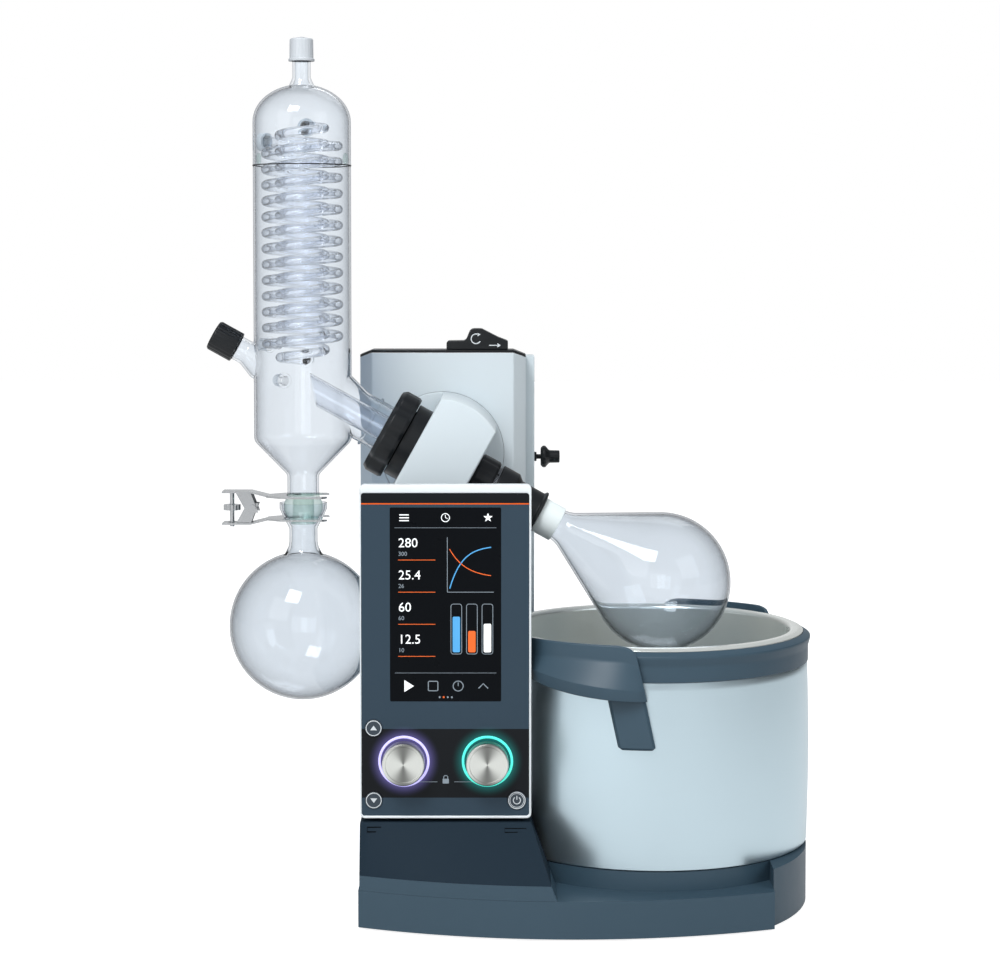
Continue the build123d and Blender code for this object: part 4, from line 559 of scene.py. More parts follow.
# Each glass darkens towards its outline: painted shade standing in for dark reflections at grazing angles.
CLEAR = Glass("clear_glass", "clear_glass", srgb(242, 246, 250), 0.0, drift=0.02)
FLASK = Glass("flask_glass", "clear_glass", srgb(237, 242, 247), 0.0, drift=0.02, edge=srgb(14, 20, 32))
COIL_GLASS = Glass(
    "coil_glass", "clear_glass", srgb(251, 252, 254), 0.0, drift=0.01, edge=srgb(112, 120, 132), reach=3.0
)
DUCT_GLASS = Glass("duct_glass", "clear_glass", srgb(246, 248, 252), 0.0, drift=0.02, edge=srgb(30, 36, 48), reach=2.4)
FROSTED = Glass("ground_glass", "clear_glass", srgb(224, 236, 231), 0.35, edge=srgb(110, 142, 134))


class Shape:
    """A mesh being made, in millimetres."""

    def __init__(self) -> None:
        """Starts with no faces."""
        self.mesh = bmesh.new()

    def point(self, place: Matrix, x: float, y: float, z: float) -> bmesh.types.BMVert:
        """Adds one vertex at a local spot."""
        return self.mesh.verts.new(place @ Vector((x, y, z)))

    def bridge(self, low: Sequence[bmesh.types.BMVert], high: Sequence[bmesh.types.BMVert]) -> None:
        """Joins two closed rings, either of which may be a single point.

        Args:
            low: One ring.
            high: The other ring.
        """
        count = max(len(low), len(high))
        for index in range(count):
            after = (index + 1) % count
            corners = [low[index % len(low)], low[after % len(low)], high[after % len(high)], high[index % len(high)]]
            corners = list(dict.fromkeys(corners))
            if len(corners) > 2:
                self.mesh.faces.new(corners)

    def lathe(
        self,
        profile: Sequence[Point2],
        place: Matrix = ROW,
        steps: int = 96,
        looped: bool = False,
        wave: Optional[Wave] = None,
    ) -> "Shape":
        """Turns a profile round the local Z axis.

        Args:
            profile: Radius and height of each point.
            place: Where the axis stands.
            steps: Number of parts round the axis.
            looped: Whether the last point joins the first.
            wave: Radius at a given radius and angle, for grips and lobes.

        Returns:
            This shape.
        """
        rings = []
        for radius, height in profile:
            if radius < 1e-6:
                rings.append([self.point(place, 0.0, 0.0, height)])
                continue
            ring = []
            for index in range(steps):
                turn = math.tau * index / steps
                reach = wave(radius, turn) if wave else radius
                ring.append(self.point(place, reach * math.cos(turn), reach * math.sin(turn), height))
            rings.append(ring)
        for low, high in zip(rings, rings[1:]):
            self.bridge(low, high)
        if looped:
            self.bridge(rings[-1], rings[0])
        return self

    def loft(self, sections: Sequence[Sequence[Vector]], place: Matrix = ROW, looped: bool = False) -> "Shape":
        """Joins closed sections of equal length into a skin.

        Args:
            sections: Points of each section.
            place: Where the sections stand.
            looped: Whether the last section joins the first; otherwise both ends are closed.

        Returns:
            This shape.
        """
        rings = [[self.mesh.verts.new(place @ spot) for spot in section] for section in sections]
        for low, high in zip(rings, rings[1:]):
            self.bridge(low, high)
        if looped:
            self.bridge(rings[-1], rings[0])
        else:
            self.mesh.faces.new(rings[0])
            self.mesh.faces.new(rings[-1])
        return self

    def slab(
        self,
        outline: Sequence[Point2],
        low: float,
        high: float,
        place: Matrix = ROW,
        edge: float = 0.5,
        holes: Sequence[Sequence[Point2]] = (),
    ) -> "Shape":
        """Raises an outline into a plate with rounded edges.

        Args:
            outline: Outer path.
            low: Lower face.
            high: Upper face.
            place: Where the outline lies.
            edge: Radius of the edges.
            holes: Paths cut through the plate.

        Returns:
            This shape.
        """
        loops = [list(outline) if turning(outline) > 0.0 else list(outline)[::-1]]
        loops += [list(hole) if turning(hole) < 0.0 else list(hole)[::-1] for hole in holes]
        steps = 3 if edge > 0.3 else 1
        levels = [(0.0, low), (0.0, high)]
        if edge > 0.0:
            turns = [math.pi / 2.0 * index / steps for index in range(steps + 1)]
            levels = [(edge * (1.0 - math.sin(turn)), low + edge * (1.0 - math.cos(turn))) for turn in turns]
            levels += [(depth, high + low - height) for depth, height in reversed(levels)]
        ends: list[list[bmesh.types.BMVert]] = [[], []]
        rims: list[list[bmesh.types.BMEdge]] = [[], []]
        for loop in loops:
            rings = [[self.point(place, x, y, height) for x, y in inset(loop, depth)] for depth, height in levels]
            for below, above in zip(rings, rings[1:]):
                self.bridge(below, above)
            for side, ring in enumerate((rings[0], rings[-1])):
                ends[side] = ring
                rims[side] += [self.mesh.edges.get((ring[index - 1], ring[index])) for index in range(len(ring))]
        for side in range(2):
            if holes:
                bmesh.ops.triangle_fill(self.mesh, edges=rims[side], use_beauty=True)
            else:
                self.mesh.faces.new(ends[side])
        return self

    def ribbon(
        self, path: Sequence[Point2], width: float, low: float, high: float, place: Matrix, closed: bool = False
    ) -> "Shape":
        """Lays a flat stroke along a path.

        Args:
            path: Points of the stroke's middle.
            width: Width of the stroke.
            low: Lower face.
            high: Upper face.
            place: Where the path lies.
            closed: Whether the stroke joins its ends.

        Returns:
            This shape.
        """
        sections = []
        count = len(path)
        for index, spot in enumerate(path):
            back = path[index - 1] if closed or index else spot
            ahead = path[(index + 1) % count] if closed or index < count - 1 else spot
            along = (Vector(ahead) - Vector(back)).normalized()
            side = Vector((-along.y, along.x)) * (width / 2.0)
            left, right = Vector(spot) + side, Vector(spot) - side
            sections.append(
                [
                    Vector((left.x, left.y, low)),
                    Vector((right.x, right.y, low)),
                    Vector((right.x, right.y, high)),
                    Vector((left.x, left.y, high)),
                ]
            )
        return self.loft(sections, place, looped=closed)

    def text(self, words: str, size: float, place: Matrix, height: float = 0.1, align: str = "CENTER") -> "Shape":
        """Sets plain numerals or a sign.

        Args:
            words: What is set.
            size: Letter size.
            place: Where the middle of the line lies.
            height: Thickness of the letters.
            align: Which side of the line the place is on.

        Returns:
            This shape.
        """
        curve = bpy.data.curves.new("lettering", "FONT")
        curve.body = words
        curve.size = size
        curve.align_x = align
        curve.align_y = "CENTER"
        curve.extrude = height / 2.0
        curve.resolution_u = 3
        holder = hold("lettering", curve)
        mesh = bpy.data.meshes.new_from_object(holder.evaluated_get(bpy.context.evaluated_depsgraph_get()))
        mesh.transform(place @ Matrix.Translation((0.0, 0.0, height / 2.0)))
        self.mesh.from_mesh(mesh)
        bpy.data.objects.remove(holder)
        bpy.data.curves.remove(curve)
        bpy.data.meshes.remove(mesh)
        bmesh.ops.remove_doubles(self.mesh, verts=self.mesh.verts, dist=1e-4)
        return self

    def bevel(self, width: float, steps: int = 2, angle: float = 30.0) -> "Shape":
        """Rounds the sharp edges.

        Args:
            width: Size of the rounding.
            steps: Parts of the rounding.
            angle: Least turn, in degrees, of an edge that is rounded.

        Returns:
            This shape.
        """
        bmesh.ops.recalc_face_normals(self.mesh, faces=self.mesh.faces)
        sharp = [
            edge for edge in self.mesh.edges
            if edge.is_manifold and edge.calc_face_angle(0.0) > math.radians(angle)
        ]
        bmesh.ops.bevel(
            self.mesh, geom=sharp, offset=width, segments=steps, profile=0.5, affect="EDGES", clamp_overlap=True,
            offset_type="OFFSET",
        )
        return self

    def as_mesh(self, name: str) -> bpy.types.Mesh:
        """Writes the faces to a mesh, still in millimetres.

        Args:
            name: Name of the mesh.

        Returns:
            The mesh.
        """
        bmesh.ops.remove_doubles(self.mesh, verts=self.mesh.verts, dist=1e-4)
        bmesh.ops.recalc_face_normals(self.mesh, faces=self.mesh.faces)
        mesh = bpy.data.meshes.new(name)
        self.mesh.to_mesh(mesh)
        return mesh

    def cut(self, *tools: "Shape", operation: str = "DIFFERENCE") -> "Shape":
        """Carves other shapes out of this one, or joins them to it.

        Args:
            tools: The other shapes.
            operation: Name of the Boolean.

        Returns:
            This shape, with the result as its faces.
        """
        for tool in tools:
            holders = [hold("carving", shape.as_mesh("carving")) for shape in (self, tool)]
            step = holders[0].modifiers.new("carve", "BOOLEAN")
            step.operation = operation
            step.solver = "EXACT"
            step.object = holders[1]
            graph = bpy.context.evaluated_depsgraph_get()
            mesh = bpy.data.meshes.new_from_object(holders[0].evaluated_get(graph))
            self.mesh.clear()
            self.mesh.from_mesh(mesh)
            bpy.data.meshes.remove(mesh)
            for holder in holders:
                discard(holder)
        return self

    def piece(self, name: str, finish: Finish, body: str, *nodes: str, smooth: float = 32.0) -> Piece:
        """Turns the shape into a finished piece of the scene.

        Args:
            name: Name of the piece.
            finish: Finish it wears.
            body: Body it rides on.
            nodes: CAD nodes it stands for.
            smooth: Largest turn, in degrees, that is shaded as smooth.

        Returns:
            The new object.
        """
        mesh = self.as_mesh(name)
        self.mesh.free()
        mesh.transform(Matrix.Scale(MM, 4))
        mesh.materials.append(finish.material())
        mesh.shade_smooth()
        mesh.set_sharp_from_angle(angle=math.radians(smooth))
        holder = hold(name, mesh)
        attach(holder, body)
        if nodes:
            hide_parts(*nodes)
        return holder


class Repeater:
    """Geometry Nodes that sweep tubes along paths and set copies of a small part."""

    @staticmethod
    def _start(name: str, inputs: Sequence[tuple[str, str]]) -> tuple[Tree, NodeBench, Node]:
        """Starts a tree with a geometry input and output.

        Args:
            name: Name of the tree.
            inputs: Names and socket types of the other inputs.

        Returns:
            The tree, its bench and its input node.
        """
        tree = bpy.data.node_groups.new(name, "GeometryNodeTree")
        tree.interface.new_socket("Geometry", in_out="INPUT", socket_type="NodeSocketGeometry")
        for label, kind in inputs:
            tree.interface.new_socket(label, in_out="INPUT", socket_type=kind)
        tree.interface.new_socket("Geometry", in_out="OUTPUT", socket_type="NodeSocketGeometry")
        bench = NodeBench(tree)
        return tree, bench, bench.add("NodeGroupInput")

    @staticmethod
    def _finish(bench: NodeBench, geometry: Socket, finish: Socket) -> None:
        """Ends a tree with Realize Instances and Set Material."""
        plain = bench.add("GeometryNodeRealizeInstances", {"Geometry": geometry}).outputs[0]
        dressed = bench.add("GeometryNodeSetMaterial", {"Geometry": plain, "Material": finish}).outputs[0]
        bench.add("NodeGroupOutput", {0: dressed})

    @staticmethod
    def _run(tree: Tree, mesh: bpy.types.Mesh, values: dict) -> Shape:
        """Runs a tree on a mesh.

        Args:
            tree: The tree.
            mesh: Points or lines that it works on.
            values: Input values by name.

        Returns:
            The result as a shape.
        """
        holder = hold("repeater", mesh)
        step = holder.modifiers.new("repeat", "NODES")
        step.node_group = tree
        for item in tree.interface.items_tree:
            if item.item_type == "SOCKET" and item.in_out == "INPUT" and item.name in values:
                step[item.identifier] = values[item.name]
        graph = bpy.context.evaluated_depsgraph_get()
        made = bpy.data.meshes.new_from_object(holder.evaluated_get(graph))
        holder.modifiers.clear()
        shape = Shape()
        shape.mesh.from_mesh(made)
        discard(holder)
        bpy.data.meshes.remove(made)
        return shape

    @classmethod
    def tube(cls, path: Sequence[Vector], radius: float, sides: int, finish: Finish, capped: bool = True) -> Shape:
        """Sweeps a round tube along a path.

        Args:
            path: Points of the tube's middle.
            radius: Radius of the tube.
            sides: Number of sides.
            finish: Finish it will wear.
            capped: Whether its ends are closed.

        Returns:
            The tube.
        """
        tree = bpy.data.node_groups.get("swept_tube")
        if tree is None:
            inputs = (("Radius", "NodeSocketFloat"), ("Sides", "NodeSocketInt"), ("Caps", "NodeSocketBool"),
                      ("Finish", "NodeSocketMaterial"))
            tree, bench, given = cls._start("swept_tube", inputs)
            line = bench.add("GeometryNodeMeshToCurve", {"Mesh": given.outputs["Geometry"]}).outputs[0]
            ring = bench.add(
                "GeometryNodeCurvePrimitiveCircle",
                {"Resolution": given.outputs["Sides"], "Radius": given.outputs["Radius"]},
            ).outputs[0]
            skin = bench.add(
                "GeometryNodeCurveToMesh",
                {"Curve": line, "Profile Curve": ring, "Fill Caps": given.outputs["Caps"]},
            ).outputs[0]
            cls._finish(bench, skin, given.outputs["Finish"])
        mesh = bpy.data.meshes.new("path")
        mesh.from_pydata([tuple(spot) for spot in path], [(index, index + 1) for index in range(len(path) - 1)], [])
        values = {"Radius": radius, "Sides": sides, "Caps": capped, "Finish": finish.material()}
        return cls._run(tree, mesh, values)

    @classmethod
    def copies(cls, part: Shape, spots: Sequence[tuple[Vector, Vector]], finish: Finish, spin: float = 0.0) -> Shape:
        """Sets a small part on each spot.

        Args:
            part: The part, made about its own origin.
            spots: Place and turn, in radians, of each copy.
            finish: Finish they will wear.
            spin: Largest chance turn of a copy about its own axis.

        Returns:
            All the copies.
        """
        tree = bpy.data.node_groups.get("set_copies")
        if tree is None:
            inputs = (("Part", "NodeSocketObject"), ("Spin", "NodeSocketFloat"), ("Seed", "NodeSocketInt"),
                      ("Finish", "NodeSocketMaterial"))
            tree, bench, given = cls._start("set_copies", inputs)
            shape = bench.add("GeometryNodeObjectInfo", {"Object": given.outputs["Part"], "As Instance": True})
            turn = bench.add("GeometryNodeInputNamedAttribute", {"Name": "turn"}, data_type="FLOAT_VECTOR").outputs[0]
            chance = bench.add(
                "FunctionNodeRandomValue", {"Seed": given.outputs["Seed"]}, data_type="FLOAT"
            ).outputs[1]
            twist = bench.math("MULTIPLY", chance, given.outputs["Spin"])
            own = bench.add("ShaderNodeCombineXYZ", {2: twist}).outputs[0]
            first = bench.add("FunctionNodeEulerToRotation", {0: turn}).outputs[0]
            second = bench.add("FunctionNodeEulerToRotation", {0: own}).outputs[0]
            both = bench.add(
                "FunctionNodeRotateRotation", {0: first, 1: second}, rotation_space="LOCAL"
            ).outputs[0]
            dots = bench.add("GeometryNodeMeshToPoints", {"Mesh": given.outputs["Geometry"]}).outputs[0]
            placed = bench.add(
                "GeometryNodeInstanceOnPoints",
                {"Points": dots, "Instance": shape.outputs["Geometry"], "Rotation": both},
            ).outputs[0]
            cls._finish(bench, placed, given.outputs["Finish"])
        mesh = bpy.data.meshes.new("spots")
        mesh.from_pydata([tuple(place) for place, _ in spots], [], [])
        turns = mesh.attributes.new("turn", "FLOAT_VECTOR", "POINT")
        for index, (_, turn) in enumerate(spots):
            turns.data[index].vector = turn
        holder = hold("part", part.as_mesh("part"))
        made = cls._run(tree, mesh, {"Part": holder, "Spin": spin, "Seed": 7, "Finish": finish.material()})
        discard(holder)
        return made


@dataclass(frozen=True)
class Turned:
    """A piece that is turned from one closed profile."""

    name: str
    finish: Finish
    body: str
    nodes: tuple[str, ...]
    place: Matrix
    corners: tuple[Corner, ...]
    steps: int = 96
    wave: Optional[Wave] = None

    def build(self) -> Piece:
        """Turns the profile and dresses the piece."""
        shape = Shape().lathe(fillet(self.corners), self.place, self.steps, True, self.wave)
        return shape.piece(self.name, self.finish, self.body, *self.nodes)


def dress(finish: Finish, *nodes: str) -> None:
    """Gives CAD nodes that stay in view a finish.

    Args:
        finish: The finish.
        nodes: Names of the nodes.
    """
    for name in nodes:
        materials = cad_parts[name].data.materials
        materials.clear()
        materials.append(finish.material())


@dataclass
class Studio:
    """The plain pale floor, the soft light and the camera."""

    eye: tuple[float, float, float] = (-7.0, -2080.0, 556.3)
    pitch: float = 2.9
    lens: float = 85.0
    shift: float = -0.1066
    floor_half: float = 9000.0
    ambient: float = 0.32
    glass_bounces: int = 32
    room: tuple[tuple[float, float], ...] = (
        (-180.0, 0.8), (-135.0, 0.14), (-108.0, 0.14), (-84.0, 0.8), (-60.0, 1.25), (-25.0, 1.35), (-10.0, 0.5),
        (8.0, 0.5), (20.0, 0.9), (50.0, 0.34), (85.0, 0.06), (130.0, 0.04), (160.0, 0.5), (180.0, 0.8),
    )

    def build(self) -> None:
        """Sets up everything that is not the object."""
        self.floor()
        self.world()
        self.lamps()
        self.camera()
        bpy.context.scene.view_settings.view_transform = "Standard"
        cycles = bpy.context.scene.cycles
        cycles.use_denoising = True
        cycles.max_bounces = cycles.transmission_bounces = cycles.transparent_max_bounces = self.glass_bounces
        cycles.glossy_bounces = 6
        cycles.diffuse_bounces = 4
        cycles.caustics_reflective = cycles.caustics_refractive = False

    def floor(self) -> None:
        """Lays the floor, which shows only a soft shadow."""
        half = self.floor_half
        mesh = bpy.data.meshes.new("floor")
        corners = [(-half, -half, 0.0), (half, -half, 0.0), (half, half, 0.0), (-half, half, 0.0)]
        mesh.from_pydata([[value * MM for value in corner] for corner in corners], [], [(0, 1, 2, 3)])
        paper = bpy.data.materials.new("paper")
        paper.use_nodes = True
        shader = paper.node_tree.nodes["Principled BSDF"]
        shader.inputs["Roughness"].default_value = 0.9
        shader.inputs["Specular IOR Level"].default_value = 0.0
        shader.inputs["Emission Color"].default_value = (1.0, 1.0, 1.0, 1.0)
        bench = NodeBench(paper.node_tree)
        path = bench.add("ShaderNodeLightPath").outputs
        plain = bench.span(path["Is Camera Ray"], 0.0, 1.0, 0.05, 0.88)
        behind = path["Is Transmission Ray"]
        tint = bench.blend(behind, (0.46, 0.47, 0.48, 1.0), (0.0, 0.0, 0.0, 1.0))
        mirror = bench.math("MULTIPLY", path["Is Glossy Ray"], 0.5)
        glow = bench.math("MAXIMUM", plain, bench.math("MAXIMUM", behind, mirror))
        bench.feed(shader, Base_Color=tint, Emission_Strength=glow)
        mesh.materials.append(paper)
        hold("floor", mesh)

    def world(self) -> None:
        """Makes white surroundings, whose mirrored tones run round the room and are darkest on the right."""
        world = bpy.data.worlds.new("white_room")
        bpy.context.scene.world = world
        world.use_nodes = True
        world.node_tree.nodes.clear()
        bench = NodeBench(world.node_tree)
        way = bench.add("ShaderNodeSeparateXYZ", {0: bench.add("ShaderNodeTexCoord").outputs["Generated"]}).outputs
        around = bench.math("ARCTAN2", way[0], bench.math("MULTIPLY", way[1], -1.0))
        ramp = bench.add("ShaderNodeValToRGB", {0: bench.span(around, -math.pi, math.pi, 0.0, 1.0)})
        stops = ramp.color_ramp.elements
        while len(stops) < len(self.room):
            stops.new(0.5)
        for stop, (turn, tone) in zip(stops, self.room):
            stop.position = (turn + 180.0) / 360.0
            stop.color = (0.97 * tone, 0.985 * tone, tone, 1.0)
        above = bench.span(way[2], 0.25, 0.8, 0.0, 1.0)
        mirror = bench.blend(above, ramp.outputs[0], (0.4, 0.42, 0.45, 1.0))
        path = bench.add("ShaderNodeLightPath").outputs
        soft = bench.blend(path["Is Glossy Ray"], (self.ambient, self.ambient, self.ambient, 1.0), mirror)
        seen = bench.math("MAXIMUM", path["Is Camera Ray"], path["Is Transmission Ray"])
        tone = bench.blend(seen, soft, (1.0, 1.0, 1.0, 1.0))
        ground = bench.add("ShaderNodeBackground", {"Color": tone, "Strength": 1.0})
        bench.add("ShaderNodeOutputWorld", {"Surface": ground.outputs[0]})

    def lamps(self) -> None:
        """Hangs large soft lamps, some of which are not mirrored in metal and glass."""
        for name, spot, size, power, mirrored in (
            ("front", (-300.0, -2700.0, 700.0), 1.2, 12.0, False),
            ("key", (-700.0, -1500.0, 2300.0), 0.9, 46.0, True),
            ("window", (-1500.0, -1700.0, 1500.0), 1.4, 8.0, True),
            ("fill", (1900.0, -1500.0, 1500.0), 1.6, 24.0, False),
            ("back", (500.0, 2300.0, 2300.0), 1.6, 30.0, False),
        ):
            lamp = bpy.data.lights.new(name, "AREA")
            lamp.size = size
            lamp.energy = power
            holder = hold(name, lamp)
            holder.location = [value * MM for value in spot]
            aim = Vector((0.0, 0.0, 0.3)) - holder.location
            holder.rotation_euler = aim.to_track_quat("-Z", "Y").to_euler()
            holder.visible_glossy = mirrored

    def camera(self) -> None:
        """Stands the camera where the photograph was taken from."""
        lens = bpy.data.cameras.new("camera")
        lens.lens = self.lens
        lens.shift_y = self.shift
        lens.clip_end = 50.0
        holder = hold("camera", lens)
        holder.location = [value * MM for value in self.eye]
        holder.rotation_euler = (math.radians(90.0 - self.pitch), 0.0, 0.0)
        bpy.context.scene.camera = holder


@dataclass
class BaseUnit:
    """The foot: housing with deck and tray, and the sloped cover under the panel."""

    left: float = -125.5
    back: float = 165.0
    floor: float = 2.0
    tray: float = 33.3
    deck: float = 50.0
    deck_front: float = -60.0
    tray_right: float = 222.0
    bow: tuple[Point2, Point2, Point2] = ((222.0, -137.5), (74.0, -168.0), (-125.5, -132.0))
    drum: tuple[float, float, float] = (82.0, -15.0, 180.0)
    ring: float = 137.0
    cover_room: float = 143.5
    cover_back: float = -60.4
    cover_left: float = -124.5
    cover_front: float = -122.0
    cover_rise: float = 41.2
    cover_rows: tuple[tuple[float, float, bool, float], ...] = (
        (33.45, 40.0, True, 0.0), (45.9, 35.24, True, 0.0), (46.0, 35.2, True, 0.0), (87.2, 19.3, False, 0.0),
        (88.0, 18.6, False, 0.7),
    )
    slot_level: float = 82.6
    slot_drop: float = 4.6

    def build(self) -> list[Piece]:
        """Builds and dresses the foot.

        Returns:
            Its pieces.
        """
        dress(SLATE, "bottom_plate")
        dress(RUBBER, "feet")
        dress(BLACK, "mains_inlet", "bath_socket", "lift_motor", "mains_switch")
        dress(BARE_STEEL, "lift_mast", "lift_spindle")
        return [self.housing(), *self.cover(), self.slots(), self.vents(), self.screws()]

    def front(self, x: float) -> float:
        """Gives the depth of the bowed front at a place along the row."""
        (mid_x, mid_y), radius = circle_through(*self.bow)
        return mid_y - math.sqrt(radius**2 - (x - mid_x) ** 2)

    def housing(self) -> Piece:
        """Builds the stepped housing as one skin.

        Returns:
            The piece.
        """
        drum_x, drum_y, drum_r = self.drum
        turn = math.degrees(math.asin((self.tray_right - drum_x) / drum_r))
        deck = arc((drum_x, drum_y), drum_r, turn - 90.0, 90.0, 64)
        deck += fillet([(drum_x, self.back), (self.left, self.back, 6.0), (self.left, self.deck_front)], False)[1:]
        first = math.degrees(math.asin(self.deck_front / self.ring))
        last = math.degrees(math.acos((self.tray_right - BATH_X) / self.ring))
        step = arc((BATH_X, 0.0), self.ring, -180.0 - first, -last, 64)
        spread = [self.tray_right - index * (self.tray_right - self.left) / 64 for index in range(65)]
        tray = [(x, self.front(x)) for x in spread]
        shape = Shape()
        tops, lows, step_tops, step_lows, tray_tops, tray_lows = (
            [shape.point(ROW, x, y, height) for x, y in path]
            for path, height in (
                (deck, self.deck), (deck, self.floor), (step, self.deck), (step, self.tray), (tray, self.tray),
                (tray, self.floor),
            )
        )
        near = shape.point(ROW, *deck[0], self.tray)
        far = shape.point(ROW, *deck[-1], self.tray)
        faces = shape.mesh.faces
        faces.new(tops + step_tops)
        faces.new([near] + tray_tops + [far] + step_lows)
        faces.new(lows + tray_lows[::-1])
        last_wall = len(deck) - 2
        for index in range(last_wall + 1):
            wall = [lows[index], lows[index + 1], tops[index + 1], tops[index]]
            if index == 0:
                wall.append(near)
            if index == last_wall:
                wall.insert(2, far)
            faces.new(wall)
        chains = (
            ([lows[0]] + tray_lows + [lows[-1]], [near] + tray_tops + [far]),
            ([far] + step_lows + [near], [tops[-1]] + step_tops + [tops[0]]),
        )
        for below, above in chains:
            for index in range(len(below) - 1):
                faces.new([below[index], below[index + 1], above[index + 1], above[index]])
        shape.bevel(1.3, 3, 40.0)
        return shape.piece("foot_housing", SLATE, "base", "base_housing")

    def cover(self) -> list[Piece]:
        """Builds the sloped cover that carries the panel, darker with painted shadow from the panel, and the upright
        band below it.

        Returns:
            Both pieces.
        """
        left = self.cover_left
        sections = []
        for height, right, bowed, inward in self.cover_rows:
            spread = [left + inward + (right - left - inward) * index / 32 for index in range(33)]
            line = [(x, self.front(x) if bowed else self.cover_front + inward) for x in spread]
            outer = math.degrees(math.acos((right - BATH_X) / self.cover_room))
            inner = math.degrees(math.asin(self.cover_back / self.cover_room))
            line += arc((BATH_X, 0.0), self.cover_room, -outer, -180.0 - inner, 16)
            line.append((left + inward, self.cover_back))
            sections.append([Vector((x, y, height)) for x, y in line])
        return [
            Shape().loft(sections[2:]).piece("panel_foot", SLATE_PAINTED_SHADOW, "base", "front_cover", smooth=24.0),
            Shape().loft(sections[:2]).piece("panel_foot_band", SLATE, "base", smooth=24.0),
        ]

    def slots(self) -> Piece:
        """Draws the two shallow slots near the top of the cover as near-black outlines: painted shade in their gaps.

        Returns:
            The piece.
        """
        shape = Shape()
        for middle, half in ((-112.0, 6.2), (6.0, 9.0)):
            lean = (self.cover_front - self.front(middle)) / self.cover_rise
            spot = facing(middle, self.cover_front - lean * self.slot_drop, self.slot_level)
            place = spot @ Matrix.Rotation(-math.atan(lean), 4, "X")
            shape.ribbon(rectangle(-half, -1.9, half, 1.9), 0.9, -0.3, 0.12, place, True)
        return shape.piece("cover_slots", SLOT_PAINTED_SHADE, "base")

    def vents(self) -> Piece:
        """Sets a row of cooling slots on the back as flat black slabs: painted shade of the openings.

        Returns:
            The piece.
        """
        slot = Shape().slab(rectangle(-1.2, -9.0, 1.2, 9.0, 1.1), 0.0, 0.25, edge=0.1)
        spots = [(Vector((-104.0 + 6.4 * index, self.back, 28.0)), TO_BACK) for index in range(9)]
        return Repeater.copies(slot, spots, BLACK_SOFT).piece("foot_vents", BLACK_SOFT, "base")

    def screws(self) -> Piece:
        """Sets the housing's screws on the back."""
        spots = [(Vector((x, self.back, 42.0)), TO_BACK) for x in (-114.0, -30.0, 66.0)]
        return Repeater.copies(cross_screw(2.6), spots, BARE_STEEL, 1.5).piece("foot_screws", BARE_STEEL, "base")


def cross_screw(radius: float) -> Shape:
    """Makes a low screw head with a cross recess.

    Args:
        radius: Radius of the head.

    Returns:
        The head, on the local XY plane.
    """
    head = Shape().lathe(
        [(0.0, 0.0), (radius, 0.0), (radius, 0.15), (radius * 0.85, 0.34), (0.0, 0.4)], steps=20
    )
    reach, half = radius * 0.6, radius * 0.13
    bar = Shape().slab(rectangle(-reach, -half, reach, half), 0.12, 0.6, edge=0.0)
    cross = Shape().slab(rectangle(-half, -reach, half, reach), 0.12, 0.6, edge=0.0)
    return head.cut(bar, cross)


